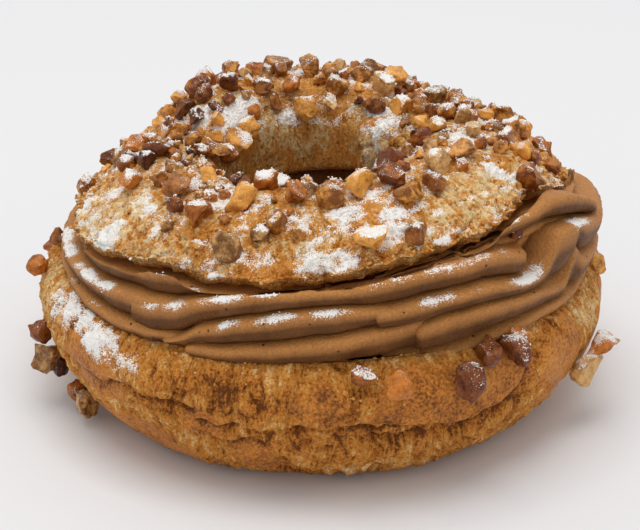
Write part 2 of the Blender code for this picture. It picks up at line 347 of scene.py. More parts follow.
# Chopped nuts that were placed: (angle, radius on the lid or height on the side, size, kind).
LID_NUTS = (
    (178, 36.5, 3.4, "golden"),
    (169, 31.4, 3.8, "golden"),
    (151, 32.7, 2.0, "golden"),
    (-169, 25.4, 4.0, "burnt"),
    (-164, 27.2, 3.4, "burnt"),
    (160, 25.8, 2.4, "roasted"),
    (157, 22.7, 2.4, "roasted"),
    (140, 29.4, 3.2, "golden"),
    (146, 30.0, 3.4, "golden"),
    (152, 22.0, 3.2, "burnt"),
    (137, 26.2, 4.4, "amber"),
    (134, 21.6, 3.8, "burnt"),
    (128, 25.8, 2.6, "amber"),
    (119, 25.2, 3.0, "pale"),
    (141, 18.6, 2.7, "amber"),
    (120, 18.8, 3.4, "roasted"),
    (107, 22.8, 3.5, "golden"),
    (104, 26.5, 5.4, "golden"),
    (112, 27.0, 4.8, "amber"),
    (121, 28.0, 4.8, "golden"),
    (130, 28.5, 4.4, "amber"),
    (106, 17.6, 4.3, "amber"),
    (118, 15.8, 3.2, "roasted"),
    (100, 14.0, 4.3, "golden"),
    (83, 14.0, 3.6, "pale"),
    (91, 19.0, 2.5, "golden"),
    (-174, 18.8, 3.0, "roasted"),
    (166, 16.0, 4.0, "amber"),
    (-156, 30.5, 4.5, "amber"),
    (-148, 28.2, 3.2, "roasted"),
    (-137, 28.2, 4.7, "roasted"),
    (-146, 20.8, 2.9, "golden"),
    (153, 15.4, 4.7, "golden"),
    (-113, 27.5, 4.6, "golden"),
    (-109, 23.3, 4.2, "amber"),
    (-98, 25.6, 4.4, "amber"),
    (-93, 24.5, 2.6, "pale"),
    (-87, 27.0, 4.5, "golden"),
    (-132, 31.4, 2.8, "amber"),
    (-123, 32.0, 5.0, "amber"),
    (-130, 34.0, 2.2, "pale"),
    (-113, 35.7, 5.0, "pale"),
    (-119, 35.2, 2.0, "golden"),
    (-104, 33.5, 3.2, "pale"),
    (-100, 31.8, 3.9, "golden"),
    (-95, 33.7, 3.0, "golden"),
    (-77, 26.1, 4.7, "golden"),
    (-58, 20.0, 4.5, "burnt"),
    (-66, 25.8, 4.5, "amber"),
    (-65, 29.8, 4.2, "golden"),
    (-57, 29.5, 3.7, "roasted"),
    (-50, 25.9, 4.7, "pale"),
    (-26, 17.4, 3.6, "amber"),
    (-10, 18.5, 3.4, "golden"),
    (13, 19.1, 3.5, "roasted"),
    (11, 23.3, 3.5, "amber"),
    (-17, 23.6, 3.4, "pale"),
    (-37, 25.9, 4.3, "golden"),
    (22, 30.2, 3.2, "roasted"),
    (14, 29.0, 4.8, "golden"),
    (-12, 28.4, 4.2, "roasted"),
    (22, 35.5, 3.4, "golden"),
    (-20, 32.0, 3.7, "golden"),
    (5, 35.5, 3.2, "golden"),
    (-21, 34.3, 3.0, "amber"),
    (-13, 35.6, 3.2, "roasted"),
    (-29, 34.9, 4.5, "amber"),
    (-78, 35.9, 4.9, "golden"),
    (-68, 37.0, 4.0, "roasted"),
    (43, 20.7, 3.6, "burnt"),
    (53, 21.5, 2.8, "burnt"),
    (60, 20.3, 4.3, "pale"),
    (79, 23.3, 2.4, "golden"),
    (71, 21.9, 3.4, "golden"),
    (87, 25.2, 2.8, "pale"),
    (60, 28.0, 2.8, "roasted"),
    (79, 20.8, 2.6, "amber"),
)
BASE_NUTS = (
    (-82, 20.6, 3.6, "amber"),
    (-76, 19.4, 5.2, "amber"),
    (-63, 18.8, 5.6, "burnt"),
    (-58, 20.8, 4.4, "burnt"),
    (-51, 20.2, 5.0, "burnt"),
    (-48, 20.8, 3.4, "amber"),
    (-20, 14.3, 5.8, "amber"),
    (-24, 10.8, 5.6, "pale"),
    (-166, 12.4, 4.6, "burnt"),
    (-163, 9.8, 5.4, "pale"),
    (-166, 7.4, 4.6, "burnt"),
    (-154.5, 3.6, 4.8, "pale"),
    (-158, 5.0, 4.0, "amber"),
    (-172, 20.0, 3.6, "amber"),
)
CREAM_NUTS = (
    (-44.5, 36.6, 2.4, "amber"),
    (-179, 24.5, 4.2, "roasted"),
    (176, 26.5, 3.4, "pale"),
    (-14, 22.8, 3.8, "golden"),
)

# The kinds of nut, and how many of every 22 scattered nuts are of each.
NUT_KINDS = {"golden": 9, "amber": 4, "roasted": 3, "pale": 5, "burnt": 1}
NUT_SHAPES = 24

# Scattered nuts, at the front of the lid where most are placed already, and elsewhere: the middle of
# their band and its spread, their usual size, and how far apart they lie against their size.
FRONT_ANGLES = (-168, -2)
FRONT_SCATTER = (22.5, 3.0, 2.2, 1.05)
OTHER_SCATTER = (25.0, 4.5, 3.4, 0.74)
TRIES = 20000

# A ring is turned in sectors, each in this many steps. Points of its section that lie closer than
# its finest detail are merged.
RING_SECTORS = 12
BASE_STEPS = 65
LID_STEPS = 60
BASE_FINEST = 0.00024
LID_FINEST = 0.00022

# The base is baked rough outside this radius, and the strands of a crust are drawn as if on a drum of
# the given radius. Between two radii in mm, the lid turns down into its hole.
BAKED_RADIUS = 0.030
BASE_DRUM = 0.044
LID_DRUM = 0.030
LID_TURN = (15.0, 19.0)

# Points of a stroke's section: on each ridge, and round its inner side, which has lobes too. Sizes
# are in millimetres.
POINTS_PER_RIDGE = 13
INNER_POINTS = 14
INNER_RADIUS = 22.5
INNER_BULGE = 4.5
INNER_LOBE = 1.0
INNER_LOBES = 3

# A groove is at most this deep against the distance between its ridges, and lies this far down
# between them. At its top and bottom edges a stroke tucks in, with these steps in millimetres.
GROOVE_MOST = 0.8
GROOVE_DROP = 0.84
EDGE_TUCK = 6.0
TOP_EDGE = 1.2
BOTTOM_EDGE = 2.4

# Part of a ridge's points that lie over its crest, and length of one step along a stroke in mm.
CREST_PART = 0.36
STROKE_STEP = 0.40

# Length in millimetres of one degree round the side, where the base and the cream are widest.
DEGREE = 0.77
CREAM_DEGREE = 0.74

# Camera and light.
CAMERA_HEIGHT_DEG = 25
CAMERA_DISTANCE = 0.300
CAMERA_AIM = Vector((0.0, 0.0, 0.0185))
LENS_MM = 104.6
SKY_COLOUR = (0.98, 0.985, 1.0)
SKY_STRENGTH = 0.67
SOFT_BOX_SIZE = 0.60
SOFT_BOX_WATTS = 3.6
SOFT_BOX_COLOUR = (1.0, 0.99, 0.97)
SOFT_BOX_PLACE = Vector((-0.035, -0.04, 0.88))
SOFT_BOX_AIM = Vector((0.0, 0.0, 0.02))


def rgb(code):
    """A colour from its sRGB hex code, as linear red, green and blue."""
    parts = [int(code[i : i + 2], 16) / 255 for i in (1, 3, 5)]
    return tuple(c / 12.92 if c <= 0.04045 else ((c + 0.055) / 1.055) ** 2.4 for c in parts)


def colour(label, code, text):
    """A colour that the user can change."""
    return FloatVectorProperty(
        name=label, description=text, subtype="COLOR", size=3, min=0.0, max=1.0, default=rgb(code)
    )


def length(label, size, text):
    """A length that the user can change, given in millimetres."""
    return FloatProperty(
        name=label, description=text, unit="LENGTH", min=0.0, default=size * MM, precision=5
    )


def factor(label, high, text):
    """A share that the user can change, 1 being the usual."""
    return FloatProperty(name=label, description=text, min=0.0, max=high, default=1.0)


def how_many(label, usual, high, text):
    """A number of things that the user can change."""
    return IntProperty(name=label, description=text, min=0, max=high, default=usual)


class ParisBrestSizes(bpy.types.PropertyGroup):
    crust_relief: factor("Crust relief", 3.0, "How rough the baked crust is, against the usual")
    groove_depth: length("Groove depth", 2.8, "How deep the star nozzle cuts between two ridges of cream")
    lid_nuts: how_many("Nuts on the lid", 190, 400, "How many chopped nuts are scattered over the lid")
    side_nuts: how_many("Nuts on the side", 10, 60, "How many chopped nuts fell on the side of the base")
    nut_scale: factor("Nut scale", 2.0, "Size of the chopped nuts, against the usual")
    sugar_grains: how_many("Sugar grains", 8500, 9000, "How many clumps of icing sugar lie loose")
    crumbs: how_many("Crumbs", 1500, 4000, "How many crumbs stand on the torn edges of the crust")
    seed: IntProperty(name="Seed", description="Another number scatters everything another way", default=7)


class ParisBrestColours(bpy.types.PropertyGroup):
    crumb: colour("Pale crumb", "#F8D79E", "Crust that tore open late and stayed pale")
    golden: colour("Golden crust", "#E29D47", "Crust that is baked through")
    brown: colour("Browned crust", "#C87A2C", "Smooth skin that browned first")
    # The deep colour is the crust's darkest browning. It is also its painted shade in creases, pits and
    # pores, under the lid and towards the floor.
    deep: colour("Deep crust", "#713D11", "Cracks and the bottom of the crust")
    cream: colour("Praline cream", "#C08244", "Praline mousseline")
    # The colour below is the cream's darker tone, used at random in soft clouds. It is also the cream's
    # painted shade in the grooves and under the crests.
    cream_tone_and_shade: colour("Praline in the grooves", "#47230B", "The cream where it is wetter, in the grooves")
    praline: colour("Praline specks", "#3A1E0E", "Ground hazelnut skin in the cream")
    nut_golden: colour("Golden nuts", "#DA9643", "Chopped hazelnut in light caramel")
    nut_amber: colour("Amber nuts", "#B5681E", "Chopped hazelnut in dark caramel")
    nut_roasted: colour("Roasted nuts", "#A26126", "Chopped hazelnut, roasted brown")
    nut_pale: colour("Pale nuts", "#C9985C", "Chopped hazelnut with little caramel")
    nut_burnt: colour("Burnt nuts", "#74380F", "Chopped hazelnut with its skin, burnt")
    sugar: colour("Icing sugar", "#FCFAF5", "Icing sugar")
    floor: colour("Floor", "#ECECED", "Studio floor")


def per_mm(size):
    """The texture scale that gives a pattern this size in millimetres."""
    return 1 / (size * MM)


def add(tree, kind, settings=(), links=()):
    """Adds a shader node to a tree, with its settings, its sockets' values and what feeds them.

    A node that stands where a socket is wanted means its first output.
    """
    node = tree.nodes.new("ShaderNode" + kind)
    for name, value in dict(settings).items():
        if name == "stops":
            ramp = node.color_ramp.elements
            while len(ramp) < len(value):
                ramp.new(0.5)
            for stop, (position, shade) in zip(ramp, value):
                stop.position = position
                stop.color = (*shade, 1.0)
        elif isinstance(name, int) or name in node.inputs:
            socket = node.inputs[name]
            socket.default_value = (*value, 1.0) if socket.type == "RGBA" else value
        else:
            setattr(node, name, value)
    for name, source in dict(links).items():
        is_node = isinstance(source, bpy.types.Node)
        tree.links.new(source.outputs[0] if is_node else source, node.inputs[name])
    return node


def start_material(name):
    """An empty node material, with its tree and the coordinates that its patterns follow."""
    made = bpy.data.materials.new(name)
    made.use_nodes = True
    made.node_tree.nodes.clear()
    return made, made.node_tree, add(made.node_tree, "TexCoord").outputs["Object"]


def end_material(tree, settings, links):
    """Adds the shader and the output that a material ends with."""
    shader = add(tree, "BsdfPrincipled", settings, links)
    add(tree, "OutputMaterial", {}, {"Surface": shader})


def powdered(tree, coords, surface, under, sugar):
    """How far icing sugar covers a surface, by the sugar attribute, with the colour and normal it gives.

    Icing sugar is sucrose ground to a few hundredths of a millimetre: matt, white and never quite even.
    It clings in clumps of 0.2 to 1 mm, which is the size that shows.
    """
    amount = add(tree, "Attribute", {"attribute_name": "sugar"}).outputs["Fac"]
    clumped = {"Scale": per_mm(0.75), "Detail": 6.0, "Roughness": 0.75}
    clumps = add(tree, "TexNoise", clumped, {"Vector": coords})
    specks = add(tree, "TexNoise", {"Scale": per_mm(0.2), "Roughness": 0.6}, {"Vector": coords})
    veil = amount
    for part, weight in ((clumps, 0.7), (specks, 1.3)):
        veil = add(tree, "Math", {"operation": "MULTIPLY_ADD", 1: weight}, {0: part, 2: veil})
    soft = {"interpolation_type": "SMOOTHSTEP", "From Min": 1.40, "From Max": 1.52, "To Max": 0.98}
    cover = add(tree, "MapRange", soft, {"Value": veil})
    mixed = add(tree, "Mix", {"data_type": "RGBA", 7: sugar}, {0: cover, 6: surface})
    raised = add(tree, "Bump", {"Strength": 0.55, "Distance": 0.3 * MM}, {"Height": veil})
    normal = add(tree, "Mix", {"data_type": "VECTOR"}, {0: cover, 4: under, 5: raised})
    return cover, mixed.outputs[2], normal.outputs[1]


def choux_crust(name, looks, pale_by):
    """Baked choux: egg and butter dough that puffs, tears open and browns in a hot oven.

    Skin that set first is smooth, brown and faintly glossy from the egg; where it tore later the
    crust is dry, pale and fibrous, with strands about 1 mm apart and pores of 0.3 to 0.6 mm.
    """
    made, tree, coords = start_material(name)
    browned = add(tree, "Attribute", {"attribute_name": "browned"}).outputs["Fac"]
    hollow = add(tree, "Attribute", {"attribute_name": "hollow"}).outputs["Fac"]
    strand = add(tree, "Attribute", {"attribute_name": "strand"}).outputs["Vector"]
    blotchy = {"Scale": per_mm(4.5), "Detail": 5.0, "Roughness": 0.65}
    mottle = add(tree, "TexNoise", blotchy, {"Vector": coords})
    drawn = {"Scale": per_mm(1.3), "Detail": 4.0, "Roughness": 0.7, "Distortion": 0.6}
    fibres = add(tree, "TexNoise", drawn, {"Vector": strand})
    gritty = {"Scale": per_mm(0.45), "Detail": 3.0, "Roughness": 0.7}
    grain = add(tree, "TexNoise", gritty, {"Vector": coords})
    pores = add(tree, "TexVoronoi", {"Scale": per_mm(1.1)}, {"Vector": coords})
    less = {"operation": "MULTIPLY_ADD", 1: -1.4, 2: 1.0, "use_clamp": True}
    torn = add(tree, "Math", less, {0: browned})
    fine = add(tree, "Math", {"operation": "SUBTRACT", 1: 0.5}, {0: fibres})
    fine = add(tree, "Math", {"operation": "MULTIPLY"}, {0: fine, 1: torn})
    toast = add(tree, "Math", {"operation": "MULTIPLY_ADD", 1: 0.75, 2: -0.37 - pale_by}, {0: mottle})
    # Painted shade: creases, pits, the lid's cut underside and the crust towards the floor are pushed
    # towards the deep colour.
    for part, weight in ((fine, 1.90), (grain, 1.20), (browned, 0.26), (hollow, 0.42)):
        toast = add(tree, "Math", {"operation": "MULTIPLY_ADD", 1: weight}, {0: part, 2: toast})
    stops = ((0.12, looks.crumb), (0.42, looks.golden), (0.72, looks.brown), (1.0, looks.deep))
    crust = add(tree, "ValToRGB", {"stops": stops}, {"Fac": toast})
    # Painted shade in the pores: open pores in torn crust are darkened towards the deep colour.
    open_pore = {"From Min": 0.10, "From Max": 0.24, "To Min": 0.55, "To Max": 0.0}
    pore = add(tree, "MapRange", open_pore, {"Value": pores})
    pore = add(tree, "Math", {"operation": "MULTIPLY"}, {0: pore, 1: torn})
    pitted = add(tree, "Mix", {"data_type": "RGBA", 7: looks.deep}, {0: pore, 6: crust})
    bump = add(tree, "Bump", {"Strength": 1.0, "Distance": 1.2 * MM}, {"Height": fine})
    bump = add(tree, "Bump", {"Strength": 1.0, "Distance": 0.4 * MM}, {"Height": grain, "Normal": bump})
    sunk = {"Strength": 0.6, "Distance": 0.3 * MM, "invert": True}
    bump = add(tree, "Bump", sunk, {"Height": pore, "Normal": bump})
    cover, shade, normal = powdered(tree, coords, pitted.outputs[2], bump, looks.sugar)
    rough = add(tree, "MapRange", {"From Max": 0.6, "To Min": 0.80, "To Max": 0.40}, {"Value": browned})
    rough = add(tree, "Math", {"operation": "MAXIMUM"}, {0: rough, 1: cover})
    finish = {"IOR": 1.45, "Specular IOR Level": 0.26}
    end_material(tree, finish, {"Base Color": shade, "Roughness": rough, "Normal": normal})
    return made


def praline_mousseline(looks):
    """Praline mousseline: custard beaten with butter and ground caramelised hazelnuts.

    It is satin where the nozzle drew it, with bubbles of 0.3 mm and specks of hazelnut skin of 0.2 to
    0.5 mm. Its grooves and the faces under its crests are darkened as painted shade, and it is darker
    at random in soft clouds.
    """
    made, tree, coords = start_material("praline_mousseline")
    hollow = add(tree, "Attribute", {"attribute_name": "hollow"}).outputs["Fac"]
    cloudy = {"Scale": per_mm(5.0), "Detail": 4.0, "Roughness": 0.6}
    cloud = add(tree, "TexNoise", cloudy, {"Vector": coords})
    bubbly = {"Scale": per_mm(0.4), "Detail": 3.0, "Roughness": 0.7}
    grain = add(tree, "TexNoise", bubbly, {"Vector": coords})
    specks = add(tree, "TexVoronoi", {"Scale": per_mm(1.3)}, {"Vector": coords})
    chance = add(tree, "SeparateColor", {}, {"Color": specks.outputs["Color"]})
    # Painted shade: the cream turns towards its darker colour in its grooves and under its crests. It also
    # does so at random in soft clouds.
    tone_and_shade = add(tree, "Math", {"operation": "MULTIPLY_ADD", 1: 0.5, 2: -0.25}, {0: cloud})
    tone_and_shade = add(tree, "Math", {"operation": "ADD", "use_clamp": True}, {0: hollow, 1: tone_and_shade})
    body = add(tree, "Mix", {"data_type": "RGBA", 6: looks.cream, 7: looks.cream_tone_and_shade}, {0: tone_and_shade})
    uneven = {"From Min": 0.25, "From Max": 0.75, "To Min": 0.72, "To Max": 1.26}
    tint = add(tree, "MapRange", uneven, {"Value": grain})
    toned = add(tree, "VectorMath", {"operation": "SCALE"}, {0: body.outputs[2], "Scale": tint})
    close = {"From Min": 0.12, "From Max": 0.20, "To Min": 1.0, "To Max": 0.0}
    speck = add(tree, "MapRange", close, {"Value": specks})
    few = add(tree, "Math", {"operation": "GREATER_THAN", 1: 0.86}, {0: chance})
    speck = add(tree, "Math", {"operation": "MULTIPLY"}, {0: speck, 1: few})
    flecked = add(tree, "Mix", {"data_type": "RGBA", 7: looks.praline}, {0: speck, 6: toned})
    bump = add(tree, "Bump", {"Strength": 1.0, "Distance": 0.3 * MM}, {"Height": grain})
    sunk = {"Strength": 0.5, "Distance": 0.4 * MM, "invert": True}
    bump = add(tree, "Bump", sunk, {"Height": speck, "Normal": bump})
    cover, shade, normal = powdered(tree, coords, flecked.outputs[2], bump, looks.sugar)
    rough = add(tree, "MapRange", {"To Min": 0.52, "To Max": 0.95}, {"Value": cover})
    finish = {
        "IOR": 1.46,
        "Specular IOR Level": 0.28,
        "Subsurface Weight": 0.08,
        "Subsurface Radius": (1.0, 0.6, 0.35),
        "Subsurface Scale": 1.0 * MM,
    }
    end_material(tree, finish, {"Base Color": shade, "Roughness": rough, "Normal": normal})
    return made


def caramelised_hazelnut(kind, shade, looks):
    """Hazelnuts chopped, tossed in boiling sugar and left to set.

    The caramel is a clear glassy coat over nut flesh that lets light in by a millimetre or two. It
    pools darker in places 1 to 2 mm across, and the broken flesh is drier.
    """
    made, tree, coords = start_material(kind + "_caramelised_hazelnut")
    tone = add(tree, "Attribute", {"attribute_name": "tone"}).outputs["Fac"]
    pooled = {"Scale": per_mm(1.5), "Detail": 4.0, "Roughness": 0.6}
    pools = add(tree, "TexNoise", pooled, {"Vector": coords})
    gritty = {"Scale": per_mm(0.4), "Detail": 3.0, "Roughness": 0.65}
    grain = add(tree, "TexNoise", gritty, {"Vector": coords})
    depth = add(tree, "Math", {"operation": "MULTIPLY_ADD", 1: 0.4}, {0: tone, 2: pools})
    depth = add(tree, "Math", {"operation": "MULTIPLY_ADD", 1: 0.25}, {0: grain, 2: depth})
    light = (shade[0] * 1.35 + 0.03, shade[1] * 1.42 + 0.02, shade[2] * 1.40 + 0.01)
    dark = (shade[0] * 0.36, shade[1] * 0.25, shade[2] * 0.13)
    stops = ((0.45, [min(1.0, part) for part in light]), (0.59, shade), (0.77, dark))
    flesh = add(tree, "ValToRGB", {"stops": stops}, {"Fac": depth})
    bump = add(tree, "Bump", {"Strength": 1.0, "Distance": 0.8 * MM}, {"Height": pools})
    bump = add(tree, "Bump", {"Strength": 0.8, "Distance": 0.25 * MM}, {"Height": grain, "Normal": bump})
    cover, surface, normal = powdered(tree, coords, flesh, bump, looks.sugar)
    glassy = {"From Min": 0.4, "From Max": 0.65, "To Min": 0.50, "To Max": 0.22}
    rough = add(tree, "MapRange", glassy, {"Value": pools})
    rough = add(tree, "Math", {"operation": "MAXIMUM"}, {0: rough, 1: cover})
    finish = {
        "IOR": 1.49,
        "Specular IOR Level": 0.20,
        "Subsurface Weight": 0.06,
        "Subsurface Radius": (1.0, 0.6, 0.3),
        "Subsurface Scale": 1.2 * MM,
        "Coat Weight": 0.30,
        "Coat Roughness": 0.12,
    }
    end_material(tree, finish, {"Base Color": surface, "Roughness": rough, "Normal": normal})
    return made


def icing_sugar(looks):
    """Icing sugar in loose clumps: white, matt and soft-edged, as light scatters between its grains."""
    made, tree, coords = start_material("icing_sugar")
    clumped = {"Scale": per_mm(0.5), "Detail": 3.0, "Roughness": 0.7}
    powder = add(tree, "TexNoise", clumped, {"Vector": coords})
    stops = ((0.30, [part * 0.95 for part in looks.sugar]), (0.65, looks.sugar))
    shade = add(tree, "ValToRGB", {"stops": stops}, {"Fac": powder})
    bump = add(tree, "Bump", {"Strength": 0.5, "Distance": 0.15 * MM}, {"Height": powder})
    finish = {
        "Roughness": 0.95,
        "Subsurface Weight": 0.25,
        "Subsurface Radius": (1.0, 1.0, 1.0),
        "Subsurface Scale": 0.3 * MM,
    }
    end_material(tree, finish, {"Base Color": shade, "Normal": bump})
    return made


def painted_board(looks):
    """The floor: board under flat white paint, with a texture of 0.5 mm that hardly shows."""
    made, tree, coords = start_material("painted_board")
    stipple = add(tree, "TexNoise", {"Scale": per_mm(0.5), "Detail": 2.0}, {"Vector": coords})
    stops = ((0.3, [part * 0.99 for part in looks.floor]), (0.7, looks.floor))
    shade = add(tree, "ValToRGB", {"stops": stops}, {"Fac": stipple})
    end_material(tree, {"Roughness": 0.8, "Specular IOR Level": 0.25}, {"Base Color": shade})
    return made


def arc(centre, radii, first_deg, last_deg, count):
    """Points of an ellipse's arc, as (radius, height)."""
    points = []
    for i in range(count):
        angle = math.radians(first_deg + (last_deg - first_deg) * i / (count - 1))
        points.append((centre[0] + radii[0] * math.cos(angle), centre[1] + radii[1] * math.sin(angle)))
    return points


def bulge(centre, radii, first_deg, last_deg, count, squareness):
    """An arc as above, but straighter between its ends where the squareness is less than 2."""
    points = []
    for r, z in arc((0.0, 0.0), (1.0, 1.0), first_deg, last_deg, count):
        r = math.copysign(abs(r) ** (2 / squareness), r)
        z = math.copysign(abs(z) ** (2 / squareness), z)
        points.append((centre[0] + radii[0] * r, centre[1] + radii[1] * z))
    return points


def base_section():
    """The base ring's section, anticlockwise from its outer foot, fine where it shows."""
    low = (OUTER_RADIUS - FOOT_OUTER, WAIST_HEIGHT)
    outer_low = bulge((FOOT_OUTER, WAIST_HEIGHT), low, -90, 0, 90, 1.6)
    high = (SHOULDER_WIDTH, SHOULDER_RISE)
    outer_high = arc((OUTER_RADIUS - SHOULDER_WIDTH, WAIST_HEIGHT), high, 3, 72, 24)
    cut = [(RIM_OUTER, BASE_HEIGHT)] + [(r * MM, BASE_HEIGHT) for r in (40, 39, 37, 33, 28, 23, 18)]
    brow = arc((HOLE_RADIUS + BROW_WIDTH, BROW_START), (BROW_WIDTH, BROW_RISE), 140, 180, 8)
    inner_low = arc((FOOT_INNER, BROW_START), (FOOT_INNER - HOLE_RADIUS, BROW_START), 188, 270, 16)
    return outer_low + outer_high + cut + [(RIM_INNER, BASE_HEIGHT)] + brow + inner_low


def lid_section():
    """The lid's section over its own cut face, anticlockwise from its torn outer edge."""
    outside = bulge((LID_CREST_RADIUS, 0.0), (LID_RADIUS - LID_CREST_RADIUS, LID_CREST), 2, 90, 84, 1.45)
    shoulder = (LID_CREST_RADIUS, LID_CREST * 0.35)
    inside = arc(shoulder, (LID_CREST_RADIUS - LID_HOLE_RADIUS, LID_CREST * 0.65), 92, 180, 44)
    wall = [(LID_HOLE_RADIUS, z * MM) for z in (2.8, 2.3, 1.8, 1.3, 0.8, 0.3, -0.2, -0.7, -1.3, -1.9, -2.5)]
    skirt = [(LID_HOLE_RADIUS + 0.0004, -LID_SKIRT), (LID_HOLE_RADIUS + LID_SKIRT_WIDTH, 0.0)]
    cut = [(r * MM, 0.0) for r in (22, 27, 32, 35, 36.5, 37.4, 38.1)]
    return [(r, max(z, LID_LIP)) for r, z in outside] + inside + wall + skirt + cut


def spun(section, sectors, steps, apart):
    """A closed ring: the section turned about +Z through one sector, then copied round.

    Points of the section closer than this are merged. Each vertex keeps its distance along the section.
    """
    mesh = bmesh.new()
    along = mesh.verts.layers.float.new("along")
    corners = [mesh.verts.new((r, 0.0, z)) for r, z in section]
    for pair in zip(corners, corners[1:] + corners[:1]):
        mesh.edges.new(pair)
    bmesh.ops.remove_doubles(mesh, verts=mesh.verts, dist=apart)
    corners = mesh.verts[:]
    for before, vert in zip(corners, corners[1:]):
        vert[along] = before[along] + (vert.co - before.co).length
    sector = math.tau / sectors
    about = {"cent": (0, 0, 0), "axis": (0, 0, 1)}
    bmesh.ops.spin(mesh, geom=mesh.verts[:] + mesh.edges[:], angle=sector, steps=steps, **about)
    first = mesh.verts[:] + mesh.edges[:] + mesh.faces[:]
    for number in range(1, sectors):
        copy = bmesh.ops.duplicate(mesh, geom=first)["geom"]
        verts = [part for part in copy if isinstance(part, bmesh.types.BMVert)]
        bmesh.ops.rotate(mesh, cent=(0, 0, 0), matrix=Matrix.Rotation(sector * number, 3, "Z"), verts=verts)
    bmesh.ops.remove_doubles(mesh, verts=mesh.verts, dist=0.01 * MM)
    bmesh.ops.recalc_face_normals(mesh, faces=mesh.faces)
    mesh.normal_update()
    return mesh


def lumps(point, size, seed):
    """Smooth unevenness from -1 to 1, with bumps about this size across."""
    return noise.noise(point / size + Vector((seed, 0.0, 0.0)))


def lumpy(point, *layers):
    """Unevenness of several sizes together, each as (strength, size, seed)."""
    return sum(strength * lumps(point, size, seed) for strength, size, seed in layers)


def rise(value, low, high):
    """From 0 to 1 as the value goes from low to high, with soft ends."""
    part = min(1.0, max(0.0, (value - low) / (high - low)))
    return part * part * (3 - 2 * part)


def pit_depth(point, apart, left_out):
    """How deep in a pit a point is, from 0 to 1, where pits lie this far apart and some are left out."""
    near, places = noise.voronoi(point / apart)
    return 1 - rise(near[0], 0.10, 0.22) if noise.cell(places[0] * 91.0) > left_out else 0.0


def outward(point):
    """The direction away from the ring's axis."""
    return Vector((point.x, point.y, 0.0)).normalized()


def degrees_round(point):
    """A point's angle from +X, in degrees."""
    return math.degrees(math.atan2(point.y, point.x))


def turned_by(angle, start):
    """How far an angle is turned from another, from -180 to 180 degrees."""
    return (angle - start + 180) % 360 - 180


def patched(patches, angle, level):
    """How deep inside the nearest patch a place is: its strength in the middle, negative outside."""
    best = -3.0
    for centre, middle, half_width, half_length, strength in patches:
        reach = (turned_by(angle, centre) / half_width) ** 2 + ((level - middle) / half_length) ** 2
        best = max(best, strength * (1 - reach))
    return best


def beside_line(line, angle, level):
    """Distance in millimetres to a line of (angle, height) on the base, and whether it is below."""
    nearest, below = 99.0, False
    here = Vector((0.0, level))
    for (angle_a, level_a), (angle_b, level_b) in zip(line, line[1:]):
        a = Vector((turned_by(angle_a, angle) * DEGREE, level_a))
        b = Vector((turned_by(angle_b, angle) * DEGREE, level_b))
        along = b - a
        part = min(1.0, max(0.0, (here - a).dot(along) / along.length_squared))
        gap = here - (a + along * part)
        if gap.length < nearest:
            nearest = gap.length
            below = gap.y < 0
    return nearest, below


def crust_layers(mesh):
    """The layers that a crust's material and toppings read: browned, painted shade, sugar and strand."""
    floats = mesh.verts.layers.float
    strand = mesh.verts.layers.float_vector.new("strand")
    return floats.new("browned"), floats.new("hollow"), floats.new("sugar"), strand


def on_drum(out, drum, along, co, size, reach):
    """A point's place on the drum that strands are drawn on, where it wanders as far as the reach."""
    wander = Vector((lumps(co, size, 61.0), lumps(co, size, 62.0), 0.0)) * reach
    return Vector((out.x * drum, out.y * drum, along)) + wander


def stranded(place, strength, size):
    """Relief of the strands that torn crust is drawn into, this far apart."""
    return 1 - strength * abs(lumps(place, size, 41.0)) + 0.6 * lumps(place, 0.0009, 42.0)


def how_pale(table, co, angle, level):
    """How pale the crust stayed, from 0 to 1."""
    return rise(patched(table, angle, level) + 0.5 * lumps(co, 0.0040, 76.0), 0.0, 0.9)


